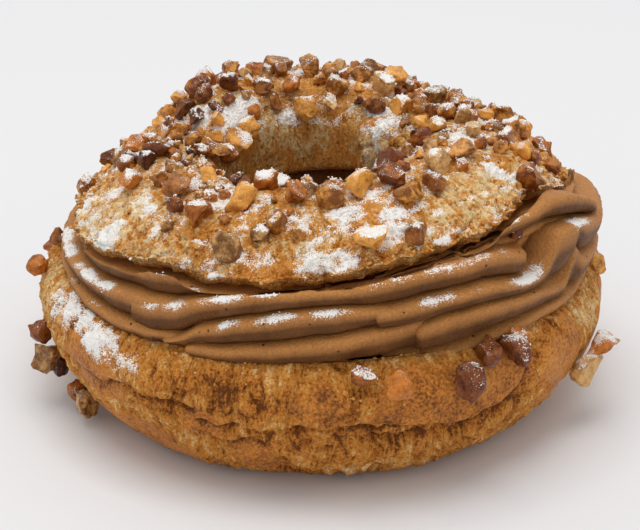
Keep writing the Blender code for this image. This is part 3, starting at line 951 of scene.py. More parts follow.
def shape_base(mesh, relief):
    """Bakes the base: it bulges, its skin tears open in strands, creases and pits."""
    browned, hollow, sugar, strand = crust_layers(mesh)
    along = mesh.verts.layers.float["along"]
    for vert in mesh.verts:
        co = vert.co.copy()
        out = outward(co)
        side = math.sin(math.pi * min(1.0, co.z / BASE_HEIGHT * 1.15))
        swell = 0.0010 * lumps(co, 0.022, 3.0) + 0.0006 * lumps(co, 0.009, 8.0)
        vert.co += out * swell * side
        angle, level = degrees_round(co), co.z / MM
        vert[strand] = on_drum(out, BASE_DRUM, vert[along] * 0.35, co, 0.007, 0.0016)
        if math.hypot(co.x, co.y) < BAKED_RADIUS or not 0.0002 < co.z < BASE_HEIGHT - 0.00002:
            continue
        wild = lumpy(co, (0.75, 0.0065, 31.0), (0.45, 0.0024, 32.0), (0.2, 0.0009, 33.0))
        skin = rise(max(-0.55, patched(BASE_SKINS, angle, level)) + wild, -0.10, 0.50)
        torn = 1 - skin
        strands = stranded(vert[strand], 2.6, 0.0018)
        crumbly = lumps(co, 0.0015, 43.0) + 0.8 * lumps(co, 0.0008, 44.0)
        depth = 0.30 * skin + torn * (0.34 * strands + 0.44 * crumbly - 0.10)
        depth += 0.20 * lumps(co, 0.0035, 45.0)
        depth += 0.07 * skin * crumbly + 0.35 * lumps(co, 0.0075, 46.0)
        depth -= 0.65 * pit_depth(co, 0.0036, 0.1)
        wander = (1.2 * lumps(co, 0.004, 51.0), 0.9 * lumps(co, 0.0032, 52.0))
        for deep, wide, step, line in BASE_CREASES:
            gap, below = beside_line(line, angle + wander[0], level + wander[1])
            if gap < 5.0:
                depth -= deep * math.exp(-((gap / wide) ** 2))
                depth -= step * (1 - rise(gap, 0.3, 4.5)) if below else -0.25 * (1 - rise(gap, 0.3, 2.5))
        foot = rise(level, 0.2, 2.0)
        vert.co += vert.normal * depth * MM * foot * relief
        pale = how_pale(BASE_PALES, co, angle, level)
        vert[browned] = 0.6 * skin - 0.1 * torn - pale * (1 - 0.7 * skin)
        # Painted shade: darker in creases and pits, towards the floor, and in the painted shade patches
        # listed above.
        vert[hollow] = min(0.8, max(0.0, -0.8 * depth - 0.02)) + 0.4 * (1 - rise(level, 0.0, 3.0))
        shaded = patched(BASE_PAINTED_SHADE, angle, level) + 0.4 * lumps(co, 0.0030, 78.0)
        vert[hollow] += 0.60 * rise(shaded, -0.3, 1.2)
        amount = 0.60 * max(-0.6, patched(BASE_SUGAR, angle, level)) + 0.35 * lumps(co, 0.0022, 71.0)
        amount += 0.30 * lumps(co, 0.0009, 72.0)
        vert.co += vert.normal * 0.3 * MM * rise(amount, 0.45, 0.9)
        vert[sugar] = max(0.0, amount)


def lid_torn(angle):
    """How far the lid's edge stands back from its circle at this angle, in radians."""
    back = 0.0003 * math.sin(11 * angle) + 0.0003 * math.sin(23 * angle + 1.0)
    for centre, half_width, depth in LID_TEARS:
        off = turned_by(math.degrees(angle), centre)
        if abs(off) < half_width:
            back += depth * math.cos(math.pi * off / half_width / 2) ** 2
    return back


def through(points, angle, column):
    """A column's value at this angle, on a smooth curve between the middle two of four points."""
    before, low, high, after = points
    span = high[0] - low[0]
    t = (angle - low[0]) / span
    leaving = (high[column] - before[column]) / (high[0] - before[0]) * span
    arriving = (after[column] - low[column]) / (after[0] - low[0]) * span
    eased = low[column] + (high[column] - low[column]) * t * t * (3 - 2 * t)
    return eased + leaving * t * (1 - t) ** 2 - arriving * t * t * (1 - t)


def round_ring(table, angle):
    """A table's height at an angle in degrees: a smooth closed curve through its entries."""
    entries = [(table[-1][0] - 360, table[-1][1]), *table]
    entries += [(at + 360, height) for at, height in table[:2]]
    for points in zip(entries, entries[1:], entries[2:], entries[3:]):
        if points[1][0] <= angle <= points[2][0]:
            return through(points, angle, 1)


def lid_height(x, y):
    """Height of the lid's cut face over the floor."""
    angle = math.atan2(y, x)
    across = (math.hypot(x, y) - LID_HOLE_RADIUS) / (LID_RADIUS - LID_HOLE_RADIUS)
    hole_edge = LID_HOLE_EDGE + LID_HOLE_RISE * math.cos(angle)
    return hole_edge + (round_ring(LID_RIM, math.degrees(angle)) - hole_edge) * min(1.0, max(0.0, across))


def shape_lid(mesh, relief):
    """Bakes and tears the lid: ragged at its edge, crumbly on its slopes, smooth inside the hole."""
    browned, hollow, sugar, strand = crust_layers(mesh)
    along = mesh.verts.layers.float["along"]
    for vert in mesh.verts:
        co, normal = vert.co.copy(), vert.normal.copy()
        out = outward(co)
        radius = math.hypot(co.x, co.y)
        across = (radius - LID_HOLE_RADIUS) / (LID_RADIUS - LID_HOLE_RADIUS)
        crest = (LID_CREST_RADIUS * out.x, LID_CREST_RADIUS * out.y)
        fullness = (round_ring(LID_TOP, degrees_round(co)) - lid_height(*crest)) / LID_CREST
        bump = 0.0006 * lumps(co, 0.013, 21.0) * max(0.0, co.z / LID_CREST)
        over_cut = co.z + max(0.0, co.z - LID_LIP) * (fullness - 1)
        edge = max(0.0, across) ** 3
        ragged = lumpy(co, (0.9, 0.0042, 22.0), (0.9, 0.0017, 23.0), (0.5, 0.0008, 24.0)) - 0.2
        at_edge = rise(radius, LID_RADIUS - 0.0030, LID_RADIUS)
        vert.co -= out * (lid_torn(math.atan2(co.y, co.x)) * edge - ragged * MM * at_edge)
        vert.co += LID_HOLE_SHIFT * (1 - across)
        vert.co.z = over_cut + bump + lid_height(vert.co.x, vert.co.y)
        vert.co.z += 0.5 * MM * at_edge * (lumps(co, 0.0030, 25.0) + 0.5 * lumps(co, 0.0012, 26.0))
        angle, level = degrees_round(co), radius / MM
        in_hole = 1 - rise(level, *LID_TURN)
        drawn = 0.35 + 0.65 * in_hole
        vert[strand] = on_drum(out, LID_DRUM, vert[along] * drawn, co, 0.006, 0.0014)
        # Painted shade on the lid's cut underside.
        if co.z <= 0.00001 and radius > 0.0150:
            vert[hollow] = 0.4
            continue
        wild = 0.8 * lumps(co, 0.0050, 31.0) + 0.5 * lumps(co, 0.0020, 32.0)
        skin = rise(max(-0.6, patched(LID_SKINS, angle, level)) + wild, 0.0, 0.5)
        torn = (1 - 0.8 * skin) * (1 - 0.75 * in_hole)
        strands = stranded(vert[strand], 2.4, 0.0016)
        crumbly = 0.7 * lumps(co, 0.0015, 43.0) + 1.1 * lumps(co, 0.0008, 44.0)
        coarse = 0.6 + 0.9 * rise(level, 27.0, 36.0)
        depth = torn * coarse * (0.18 * strands + 0.42 * crumbly)
        depth += 0.26 * lumps(co, 0.0032, 45.0) + 0.08 * skin
        swollen = max(0.0, patched(HOLE_LUMPS, angle, level))
        depth += swollen * (1.7 + 1.3 * lumps(co, 0.0024, 47.0) + 0.9 * lumps(co, 0.0011, 48.0))
        depth -= 0.45 * pit_depth(co, 0.0028, 0.3)
        vert.co += normal * depth * MM * relief
        pale = how_pale(LID_PALES, co, angle, level)
        vert[browned] = 0.5 * skin * (1 - pale) - pale
        # Painted shade in the lid's pits and low places.
        vert[hollow] = min(1.0, max(0.0, -1.2 * depth + 0.05))
        amount = 0.60 * max(-0.6, patched(LID_SUGAR, angle, level))
        crest = math.exp(-(((level - 25) / 6) ** 2))
        amount = max(amount, crest * (0.34 + 0.60 * lumps(co, 0.0050, 72.0)))
        amount = max(amount, 0.21 + 0.36 * lumps(co, 0.0040, 74.0))
        if level < 17.5:
            amount *= max(0.75 * swollen, rise(normal.z, 0.05, 0.45))
        amount += 0.30 * lumps(co, 0.0016, 73.0) + 0.20 * lumps(co, 0.0008, 77.0)
        vert.co += normal * 0.45 * MM * rise(amount, 0.45, 0.95) * (1 + 0.9 * lumps(co, 0.0011, 75.0))
        vert[sugar] = max(0.0, amount)


def on_crest(crest, angle):
    """Radius and height of a ridge's crest at this angle, in millimetres, smooth between its points."""
    if angle <= crest[0][0]:
        return crest[0][1:]
    if angle >= crest[-1][0]:
        return crest[-1][1:]
    i = next(i for i in range(len(crest) - 1) if crest[i + 1][0] >= angle)
    points = crest[max(0, i - 1)], crest[i], crest[i + 1], crest[min(len(crest) - 1, i + 2)]
    return through(points, angle, 1), through(points, angle, 2)


def ceiling(x, y):
    """How high the cream can reach: up to the lid, or past it outside the lid's edge."""
    from_hole = math.hypot(x - LID_HOLE_SHIFT.x, y - LID_HOLE_SHIFT.y)
    in_skirt = (LID_HOLE_RADIUS + LID_SKIRT_WIDTH + 0.0006 - from_hole) / LID_SKIRT_WIDTH
    past_edge = math.hypot(x, y) - LID_RADIUS + lid_torn(math.atan2(y, x))
    drop = LID_SKIRT * min(1.0, max(0.0, in_skirt))
    recess = 0.0010 * rise(past_edge, -0.0060, -0.0015) * (1 - rise(past_edge, 0.0002, 0.0024))
    return lid_height(x, y) - drop - recess + 1.6 * max(0.0, past_edge - 0.0012) - 0.0002


def shoulder(radius):
    """Height of the base's top at this radius, where the cream hangs over its rim."""
    part = min(1.0, max(0.0, (radius - OUTER_RADIUS + SHOULDER_WIDTH) / SHOULDER_WIDTH))
    return min(BASE_HEIGHT, WAIST_HEIGHT + SHOULDER_RISE * math.sqrt(1 - part * part))


def groove_between(upper, lower, groove_depth):
    """Radius and height of the groove that the nozzle cuts between two ridges, in millimetres."""
    pitch = upper[1] - lower[1]
    depth = min(groove_depth, GROOVE_MOST * pitch)
    return min(upper[0], lower[0]) - depth, upper[1] - GROOVE_DROP * pitch


def profile(ridges, place, groove_depth):
    """A stroke's section at one of its points: (radius, height, how deep in a groove), in millimetres."""
    count = len(ridges)
    outside = count * POINTS_PER_RIDGE
    if place >= outside:
        part = (place - outside + 1) / (INNER_POINTS + 1)
        bottom, top = ridges[-1][1] - 1.5, ridges[0][1] + 1.5
        lobe = abs(math.sin(part * math.pi * INNER_LOBES))
        radius = INNER_RADIUS - INNER_BULGE * math.sin(math.pi * part) ** 0.6 - INNER_LOBE * lobe
        return radius, bottom + (top - bottom) * part, 1 - lobe
    ridge = int(place // POINTS_PER_RIDGE)
    part = (place - ridge * POINTS_PER_RIDGE) / POINTS_PER_RIDGE
    radius, height = ridges[ridge]
    if part < CREST_PART:
        groove = (radius - EDGE_TUCK, height + TOP_EDGE)
        if ridge:
            groove = groove_between(ridges[ridge - 1], ridges[ridge], groove_depth)
        out = (part / CREST_PART) ** 0.9
        away, deep = 1 - out**1.8, 1 - out
    else:
        groove = (radius - EDGE_TUCK, height - BOTTOM_EDGE)
        if ridge < count - 1:
            groove = groove_between(ridges[ridge], ridges[ridge + 1], groove_depth)
        turn = (part - CREST_PART) / (1 - CREST_PART) * math.pi / 2
        out = math.cos(turn) ** 0.62
        away, deep = math.sin(turn) ** 0.85, 1 - math.cos(turn)
    return groove[0] + (radius - groove[0]) * out, height + (groove[1] - height) * away, deep


def piped_stroke(number, stroke, groove_depth):
    """One stroke of the star nozzle: a ring of points turned about the axis, then drawn to its ridges."""
    start, end, crests = stroke
    points = len(crests) * POINTS_PER_RIDGE + INNER_POINTS
    steps = round((end - start) * CREAM_DEGREE / STROKE_STEP)
    mesh = bmesh.new()
    order = mesh.verts.layers.float.new("order")
    stand = (
        Matrix.Rotation(math.radians(start), 4, "Z")
        @ Matrix.Translation((0.034, 0.0, 0.028))
        @ Matrix.Rotation(math.pi / 2, 4, "X")
    )
    ring = bmesh.ops.create_circle(mesh, segments=points, radius=0.006, matrix=stand)["verts"]
    for place, vert in enumerate(ring):
        vert[order] = place
    bmesh.ops.spin(
        mesh,
        geom=mesh.verts[:] + mesh.edges[:],
        cent=(0, 0, 0),
        axis=(0, 0, 1),
        angle=math.radians(end - start),
        steps=steps,
    )
    bmesh.ops.holes_fill(mesh, edges=[edge for edge in mesh.edges if edge.is_boundary], sides=0)
    hollow = mesh.verts.layers.float.new("hollow")
    sugar = mesh.verts.layers.float.new("sugar")
    dusted = [line for line in CREAM_SUGAR if line[0] == number]
    stations = {}
    for vert in mesh.verts:
        turned = (degrees_round(vert.co) - start + 1.0) % 360 - 1.0
        station = round(turned / (end - start) * steps)
        angle = start + (end - start) * station / steps
        if station not in stations:
            stations[station] = [on_crest(crest, angle) for crest in crests]
        place = vert[order]
        radius, height, deep = profile(stations[station], place, groove_depth / MM)
        ridge = min(len(crests) - 1, int(place // POINTS_PER_RIDGE))
        part = place / POINTS_PER_RIDGE - ridge
        shown = rise((angle - crests[ridge][0][0]) * CREAM_DEGREE - 1.4 * deep, 0.0, 0.6)
        buried = rise(angle, end - 7, end)
        out = Vector((math.cos(math.radians(angle)), math.sin(math.radians(angle)), 0.0))
        co = Vector((out.x, out.y, height * MM / 0.042)) * 0.042
        wavy = lumpy(co, (0.26, 0.0060, 81.0), (0.18, 0.0022, 82.0), (0.09, 0.0008, 83.0))
        radius += wavy - 2.6 * (1 - shown) - 1.6 * buried
        height += 0.20 * lumps(co, 0.0045, 84.0)
        x, y = radius * MM * out.x, radius * MM * out.y
        floor = shoulder(radius * MM) + 0.0001
        vert.co = Vector((x, y, max(floor, min(ceiling(x, y), height * MM))))
        # Painted shade on the cream: the top of a ridge darkens only deep in its groove, and the face under
        # its crest darkens as if in shade. The lowest ridge darkens half as much.
        if part < CREST_PART:
            vert[hollow] = 0.5 * rise(deep, 0.4, 1.0)
        else:
            lowest = ridge == len(crests) - 1
            riser_shade = max(rise(deep, 0.1, 0.7), 0.80 * rise(part, 0.40, 0.54))
            vert[hollow] = riser_shade * (0.5 if lowest else 1.0)
        amount = 0.0
        for _, at_ridge, first, last, strength in dusted:
            if at_ridge == ridge and 0.12 < part < 0.62:
                ends = rise(angle, first, first + 3) * (1 - rise(angle, last - 3, last))
                amount = max(amount, ends * strength * math.exp(-(((part - 0.30) / 0.11) ** 2)))
        patchy = 0.50 + 0.65 * lumps(co, 0.0040, 86.0) + 0.40 * lumps(co, 0.0018, 85.0)
        vert[sugar] = max(0.0, amount * patchy)
    return mesh


def finished(name, mesh, material, node=None):
    """Turns a bmesh into a named piece that rides on the pastry."""
    data = bpy.data.meshes.new(name)
    mesh.to_mesh(data)
    mesh.free()
    data.materials.append(material)
    data.shade_smooth()
    piece = bpy.data.objects.new(name, data)
    bpy.context.scene.collection.objects.link(piece)
    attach(piece, "root")
    if node:
        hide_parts(node)
    return piece


def add_to(mesh, part):
    """Moves a finished part into a mesh. Operators on the small part stay quick."""
    data = bpy.data.meshes.new("part")
    part.to_mesh(data)
    part.free()
    mesh.from_mesh(data)
    bpy.data.meshes.remove(data)


def joined(*names):
    """A mesh of finished pieces together, to set things on."""
    mesh = bmesh.new()
    for name in names:
        if name not in bpy.data.objects:
            raise RuntimeError(f"Make {name} first")
        mesh.from_mesh(bpy.data.objects[name].data)
    mesh.normal_update()
    return mesh


def surface_of(name):
    """The surface of a finished piece, for rays to meet."""
    mesh = joined(name)
    tree = BVHTree.FromBMesh(mesh)
    mesh.free()
    return tree


def from_above(tree, angle, radius):
    """Where the surface lies at this angle and radius, seen from above."""
    over = Matrix.Rotation(math.radians(angle), 3, "Z") @ Vector((radius * MM, 0.0, 0.08))
    return tree.ray_cast(over, Vector((0, 0, -1)))[:2]


def from_outside(tree, angle, height):
    """Where the surface lies at this angle and height, seen from outside."""
    out = Matrix.Rotation(math.radians(angle), 3, "Z") @ Vector((1.0, 0.0, 0.0))
    return tree.ray_cast(out * 0.08 + Vector((0, 0, height * MM)), -out)[:2]


def chopped_nut(seed):
    """A piece of hazelnut, 1 across: partly its round outside, partly broken flat, with blunt edges."""
    chance = random.Random(seed)
    mesh = bmesh.new()
    bmesh.ops.create_icosphere(mesh, subdivisions=2, radius=0.62)
    for _ in range(chance.choice((4, 5, 6))):
        facing = Vector((chance.gauss(0, 1), chance.gauss(0, 1), chance.gauss(0, 1))).normalized()
        cut = bmesh.ops.bisect_plane(
            mesh,
            geom=mesh.verts[:] + mesh.edges[:] + mesh.faces[:],
            plane_co=facing * chance.uniform(0.20, 0.42),
            plane_no=facing,
            clear_outer=True,
        )
        open_edges = [part for part in cut["geom_cut"] if isinstance(part, bmesh.types.BMEdge)]
        bmesh.ops.holes_fill(mesh, edges=open_edges, sides=0)
    bmesh.ops.remove_doubles(mesh, verts=mesh.verts, dist=0.05)
    sharp = [e for e in mesh.edges if len(e.link_faces) == 2 and e.calc_face_angle(0.0) > 0.55]
    bmesh.ops.bevel(
        mesh,
        geom=sharp,
        offset=0.045,
        segments=1,
        profile=0.5,
        affect="EDGES",
        material=-1,
        clamp_overlap=True,
    )
    bmesh.ops.triangulate(mesh, faces=mesh.faces)
    long = [e for e in mesh.edges if e.calc_length() > 0.20]
    bmesh.ops.subdivide_edges(mesh, edges=long, cuts=1, use_grid_fill=True)
    bmesh.ops.triangulate(mesh, faces=mesh.faces)
    bmesh.ops.recalc_face_normals(mesh, faces=mesh.faces)
    mesh.normal_update()
    for vert in mesh.verts:
        vert.co += vert.normal * lumpy(vert.co, (0.13, 0.40, seed), (0.08, 0.18, seed + 0.5))
    low = Vector((min(v.co[i] for v in mesh.verts) for i in range(3)))
    high = Vector((max(v.co[i] for v in mesh.verts) for i in range(3)))
    bmesh.ops.translate(mesh, verts=mesh.verts, vec=-(low + high) / 2)
    bmesh.ops.scale(mesh, verts=mesh.verts, vec=Vector((1, 1, 1)) / max(high - low))
    data = bpy.data.meshes.new("chopped_nut")
    mesh.to_mesh(data)
    mesh.free()
    return data


def stretched(chance, *ranges):
    """A stretch along each axis, drawn from its range."""
    return Matrix.Diagonal([chance.uniform(*limits) for limits in ranges] + [1.0])


def sprinkled(spots, shaped):
    """A mesh of small round grains, one on each spot, a hundred at a time to stay quick.

    The function given makes a grain's radius and matrix from its spot.
    """
    mesh = bmesh.new()
    for first in range(0, len(spots), 100):
        few = bmesh.new()
        for spot in spots[first : first + 100]:
            size, matrix = shaped(spot)
            bmesh.ops.create_icosphere(few, subdivisions=1, radius=size, matrix=matrix)
        add_to(mesh, few)
    return mesh


def lay_nuts(meshes, spots, shapes, chance):
    """Sets a chopped nut on each spot: (place, normal, size, kind), part sunk in what it lies on."""
    for place, normal, size, kind in spots:
        mesh, tone, sugar = meshes[kind]
        squash = stretched(chance, (0.95, 1.2), (0.8, 1.05), (0.75, 1.0))
        spin = Matrix.Rotation(chance.uniform(0, math.tau), 4, "Z")
        tumble = spin @ Matrix.Rotation(chance.gauss(0, 0.5), 4, "X")
        lean = normal.lerp(Vector((0, 0, 1)), 0.2).to_track_quat("Z", "Y").to_matrix().to_4x4()
        first = len(mesh.verts)
        mesh.from_mesh(chance.choice(shapes))
        mesh.verts.ensure_lookup_table()
        new = mesh.verts[first:]
        centre = Matrix.Translation(place + normal * size * MM * 0.28)
        shaped = tumble @ squash @ Matrix.Scale(size * MM, 4)
        bmesh.ops.transform(mesh, verts=new, matrix=centre @ lean @ shaped)
        shade, dust = chance.uniform(-0.35, 0.35), chance.uniform(0.0, 0.55)
        for vert in new:
            vert[tone] = shade
            vert[sugar] = dust
    for mesh, tone, sugar in meshes.values():
        mesh.normal_update()
        for vert in mesh.verts:
            lying = rise(vert.normal.z, 0.2, 1.0) * (0.15 + vert[sugar])
            vert[sugar] = max(0.0, lying + lumpy(vert.co, (0.30, 0.0022, 91.0), (0.15, 0.0009, 92.0)))


class PARIS_BREST_OT_bake_base(bpy.types.Operator):
    """Bake the base ring, with its browned skin, torn strands and creases"""

    bl_idname = "paris_brest.bake_base"
    bl_label = "Base crust"

    def execute(self, context):
        sizes, looks = context.scene.paris_brest_sizes, context.scene.paris_brest_colours
        mesh = spun(base_section(), RING_SECTORS, BASE_STEPS, BASE_FINEST)
        shape_base(mesh, sizes.crust_relief)
        crust = choux_crust("baked_choux_crust", looks, pale_by=0.05)
        finished("base_crust", mesh, crust, "choux_base")
        return {"FINISHED"}


class PARIS_BREST_OT_pipe_cream(bpy.types.Operator):
    """Pipe the praline cream round the ring, one stroke of the star nozzle after another"""

    bl_idname = "paris_brest.pipe_cream"
    bl_label = "Piped cream"

    def execute(self, context):
        sizes, looks = context.scene.paris_brest_sizes, context.scene.paris_brest_colours
        mesh = bmesh.new()
        mesh.verts.layers.float.new("order")
        mesh.verts.layers.float.new("hollow")
        mesh.verts.layers.float.new("sugar")
        for number, stroke in enumerate(STROKES):
            rope = piped_stroke(number, stroke, sizes.groove_depth)
            bmesh.ops.recalc_face_normals(rope, faces=rope.faces)
            add_to(mesh, rope)
        finished("piped_cream", mesh, praline_mousseline(looks), "praline_cream")
        return {"FINISHED"}


class PARIS_BREST_OT_bake_lid(bpy.types.Operator):
    """Bake the lid, with its ragged edge and crumbly slopes"""

    bl_idname = "paris_brest.bake_lid"
    bl_label = "Lid crust"

    def execute(self, context):
        sizes, looks = context.scene.paris_brest_sizes, context.scene.paris_brest_colours
        mesh = spun(lid_section(), RING_SECTORS, LID_STEPS, LID_FINEST)
        shape_lid(mesh, sizes.crust_relief)
        crust = choux_crust("pale_choux_crust", looks, pale_by=0.18)
        finished("lid_crust", mesh, crust, "choux_lid")
        return {"FINISHED"}


class PARIS_BREST_OT_scatter_nuts(bpy.types.Operator):
    """Scatter chopped caramelised hazelnuts over the lid, and a few that fell on the side"""

    bl_idname = "paris_brest.scatter_nuts"
    bl_label = "Chopped nuts"

    def execute(self, context):
        sizes, looks = context.scene.paris_brest_sizes, context.scene.paris_brest_colours
        chance = random.Random(sizes.seed)
        lid, base, cream = (surface_of(name) for name in ("lid_crust", "base_crust", "piped_cream"))
        spots = []
        for angle, level, size, kind in LID_NUTS:
            spots.append((*from_above(lid, angle, level), size * sizes.nut_scale, kind))
        for table, tree in ((BASE_NUTS, base), (CREAM_NUTS, cream)):
            for angle, level, size, kind in table:
                place, normal = from_outside(tree, angle, level)
                spots.append((place + normal * 0.22 * size * MM, normal, size * sizes.nut_scale, kind))
        kinds = [kind for kind, share in NUT_KINDS.items() for _ in range(share)]
        wanted = len(spots) + sizes.lid_nuts
        for _ in range(TRIES):
            if len(spots) >= wanted:
                break
            angle = chance.uniform(-180, 180)
            front = FRONT_ANGLES[0] < angle < FRONT_ANGLES[1]
            middle, spread, usual, apart = FRONT_SCATTER if front else OTHER_SCATTER
            radius = chance.gauss(middle, spread)
            if not front:
                radius = min(34.0, max(15.0, radius))
            size = min(4.6, max(1.5, chance.gauss(usual, 0.9))) * sizes.nut_scale
            place, normal = from_above(lid, angle, radius)
            apart *= MM / 2
            if place and all((place - at).length > apart * (size + width) for at, _, width, _ in spots):
                spots.append((place, normal, size, chance.choice(kinds)))
        for _ in range(sizes.side_nuts):
            place, normal = from_outside(base, chance.uniform(10, 165), chance.uniform(6, 20))
            spots.append((place, normal, chance.uniform(2.6, 4.8) * sizes.nut_scale, chance.choice(kinds)))
        shapes = [chopped_nut(seed) for seed in range(1, NUT_SHAPES + 1)]
        meshes = {}
        for kind in NUT_KINDS:
            mesh = bmesh.new()
            meshes[kind] = (mesh, mesh.verts.layers.float.new("tone"), mesh.verts.layers.float.new("sugar"))
        lay_nuts(meshes, spots, shapes, chance)
        for kind in NUT_KINDS:
            shade = tuple(getattr(looks, "nut_" + kind))
            nuts = finished(kind + "_nuts", meshes[kind][0], caramelised_hazelnut(kind, shade, looks))
            nuts.data.set_sharp_from_angle(angle=math.radians(38))
        for shape in shapes:
            bpy.data.meshes.remove(shape)
        return {"FINISHED"}


class PARIS_BREST_OT_break_crumbs(bpy.types.Operator):
    """Leave crumbs of crust on the lid's torn edge and in the torn places of its slopes"""

    bl_idname = "paris_brest.break_crumbs"
    bl_label = "Crumbs"

    def execute(self, context):
        sizes, looks = context.scene.paris_brest_sizes, context.scene.paris_brest_colours
        chance = random.Random(sizes.seed + 2)
        under = joined("lid_crust", "base_crust")
        browned = under.verts.layers.float["browned"]
        sugar = under.verts.layers.float["sugar"]
        places, weights = [], []
        for vert in under.verts:
            radius, level = math.hypot(vert.co.x, vert.co.y), vert.co.z
            if level > BASE_HEIGHT + 0.004:
                weight = 1.0 * rise(radius, 0.0355, 0.0385) + 0.12 * rise(radius, 0.026, 0.034)
            else:
                weight = 0.10 * rise(level, 0.015, 0.021) * rise(radius, 0.036, 0.040)
            weight *= (1 - max(0.0, vert[browned])) * (1 - min(1.0, 2 * vert[sugar]))
            if weight > 0.01 and vert.normal.z > -0.5:
                places.append(vert)
                weights.append(weight)

        def crumb(vert):
            size = min(0.50, max(0.15, chance.gauss(0.24, 0.08))) * MM
            facing = Vector([chance.gauss(0, 1) for _ in range(3)])
            turn = facing.to_track_quat("Z", "Y").to_matrix().to_4x4()
            uneven = stretched(chance, (0.8, 1.5), (0.6, 1.1), (0.5, 1.0))
            return size, Matrix.Translation(vert.co + vert.normal * size * 0.25) @ turn @ uneven

        mesh = sprinkled(chance.choices(places, weights, k=sizes.crumbs), crumb)
        for vert in mesh.verts:
            vert.co += Vector([0.12 * MM * lumps(vert.co, 0.0002, seed) for seed in (95.0, 96.0, 97.0)])
        crust = choux_crust("torn_choux_crumbs", looks, pale_by=0.10)
        finished("crust_crumbs", mesh, crust)
        under.free()
        return {"FINISHED"}


class PARIS_BREST_OT_dust_sugar(bpy.types.Operator):
    """Dust icing sugar over the lid and the ridges of cream, in loose clumps"""

    bl_idname = "paris_brest.dust_sugar"
    bl_label = "Icing sugar"

    def execute(self, context):
        sizes, looks = context.scene.paris_brest_sizes, context.scene.paris_brest_colours
        chance = random.Random(sizes.seed + 1)
        nuts = [kind + "_nuts" for kind in NUT_KINDS]
        under = joined("lid_crust", "base_crust", "piped_cream", *nuts)
        amount = under.verts.layers.float["sugar"]
        likely = [vert for vert in under.verts if vert[amount] > 0.34 and vert.normal.z > 0.1]
        weights = [vert[amount] ** 2 for vert in likely]

        def grain(vert):
            size = chance.uniform(0.07, 0.17) * (1.6 if chance.random() < 0.05 else 1.0) * MM
            shift = Vector([chance.gauss(0.0, 0.18) * MM for _ in range(3)])
            shift -= vert.normal * shift.dot(vert.normal)
            turned = chance.uniform(0, math.tau)
            turn = Matrix.Rotation(turned, 4, Vector((chance.gauss(0, 1), chance.gauss(0, 1), 1.0)))
            flat = stretched(chance, (0.8, 1.5), (0.7, 1.2), (0.5, 0.9))
            return size, Matrix.Translation(vert.co + vert.normal * size * 0.3 + shift) @ turn @ flat

        mesh = sprinkled(chance.choices(likely, weights, k=sizes.sugar_grains), grain)
        finished("icing_sugar", mesh, icing_sugar(looks))
        under.free()
        return {"FINISHED"}


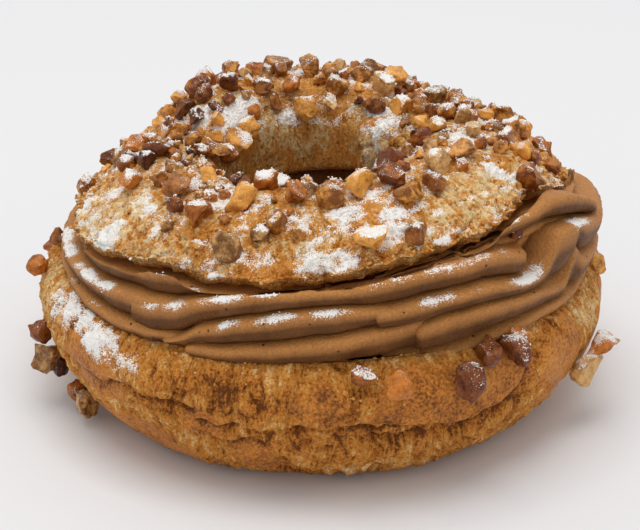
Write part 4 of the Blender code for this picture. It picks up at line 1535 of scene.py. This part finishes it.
class PARIS_BREST_OT_light_stage(bpy.types.Operator):
    """Set the pastry on a pale floor, under soft light, in front of the camera"""

    bl_idname = "paris_brest.light_stage"
    bl_label = "Stage"

    def execute(self, context):
        looks = context.scene.paris_brest_colours
        scene = context.scene
        mesh = bmesh.new()
        bmesh.ops.create_grid(mesh, x_segments=8, y_segments=8, size=4.0)
        data = bpy.data.meshes.new("studio_floor")
        mesh.to_mesh(data)
        mesh.free()
        data.materials.append(painted_board(looks))
        floor = bpy.data.objects.new("studio_floor", data)
        scene.collection.objects.link(floor)

        world = bpy.data.worlds.new("studio")
        world.use_nodes = True
        sky = world.node_tree.nodes["Background"].inputs
        sky["Color"].default_value = (*SKY_COLOUR, 1.0)
        sky["Strength"].default_value = SKY_STRENGTH
        scene.world = world

        light = bpy.data.lights.new("soft_box", "AREA")
        light.shape = "SQUARE"
        light.size = SOFT_BOX_SIZE
        light.energy = SOFT_BOX_WATTS
        light.color = SOFT_BOX_COLOUR
        soft_box = bpy.data.objects.new("soft_box", light)
        soft_box.location = SOFT_BOX_PLACE
        soft_box.rotation_euler = (SOFT_BOX_AIM - SOFT_BOX_PLACE).to_track_quat("-Z", "Y").to_euler()
        scene.collection.objects.link(soft_box)

        lens = bpy.data.cameras.new("camera")
        lens.sensor_width = 36.0
        lens.lens = LENS_MM
        lens.clip_start = 0.01
        camera = bpy.data.objects.new("camera", lens)
        high = math.radians(CAMERA_HEIGHT_DEG)
        camera.location = CAMERA_AIM + CAMERA_DISTANCE * Vector((0.0, -math.cos(high), math.sin(high)))
        camera.rotation_euler = (math.pi / 2 - high, 0.0, 0.0)
        scene.collection.objects.link(camera)
        scene.camera = camera
        scene.view_settings.view_transform = "Standard"
        return {"FINISHED"}


class PARIS_BREST_PT_panel(bpy.types.Panel):
    """Builds the Paris-Brest piece by piece"""

    bl_idname = "PARIS_BREST_PT_panel"
    bl_label = "Paris-Brest"
    bl_space_type = "VIEW_3D"
    bl_region_type = "UI"
    bl_category = "Paris-Brest"

    def draw(self, context):
        for group in (context.scene.paris_brest_sizes, context.scene.paris_brest_colours):
            column = self.layout.column(align=True)
            for name in group.__annotations__:
                column.prop(group, name)
        column = self.layout.column(align=True)
        for operator in OPERATORS:
            column.operator(operator.bl_idname)


OPERATORS = (
    PARIS_BREST_OT_bake_base,
    PARIS_BREST_OT_pipe_cream,
    PARIS_BREST_OT_bake_lid,
    PARIS_BREST_OT_break_crumbs,
    PARIS_BREST_OT_scatter_nuts,
    PARIS_BREST_OT_dust_sugar,
    PARIS_BREST_OT_light_stage,
)
CLASSES = (ParisBrestSizes, ParisBrestColours, *OPERATORS, PARIS_BREST_PT_panel)


def register():
    for each in CLASSES:
        bpy.utils.register_class(each)
    bpy.types.Scene.paris_brest_sizes = PointerProperty(type=ParisBrestSizes)
    bpy.types.Scene.paris_brest_colours = PointerProperty(type=ParisBrestColours)


def unregister():
    del bpy.types.Scene.paris_brest_colours
    del bpy.types.Scene.paris_brest_sizes
    for each in reversed(CLASSES):
        bpy.utils.unregister_class(each)


def main():
    register()
    bpy.ops.paris_brest.bake_base()
    bpy.ops.paris_brest.pipe_cream()
    bpy.ops.paris_brest.bake_lid()
    bpy.ops.paris_brest.break_crumbs()
    bpy.ops.paris_brest.scatter_nuts()
    bpy.ops.paris_brest.dust_sugar()
    bpy.ops.paris_brest.light_stage()


if __name__ == "__main__":
    main()
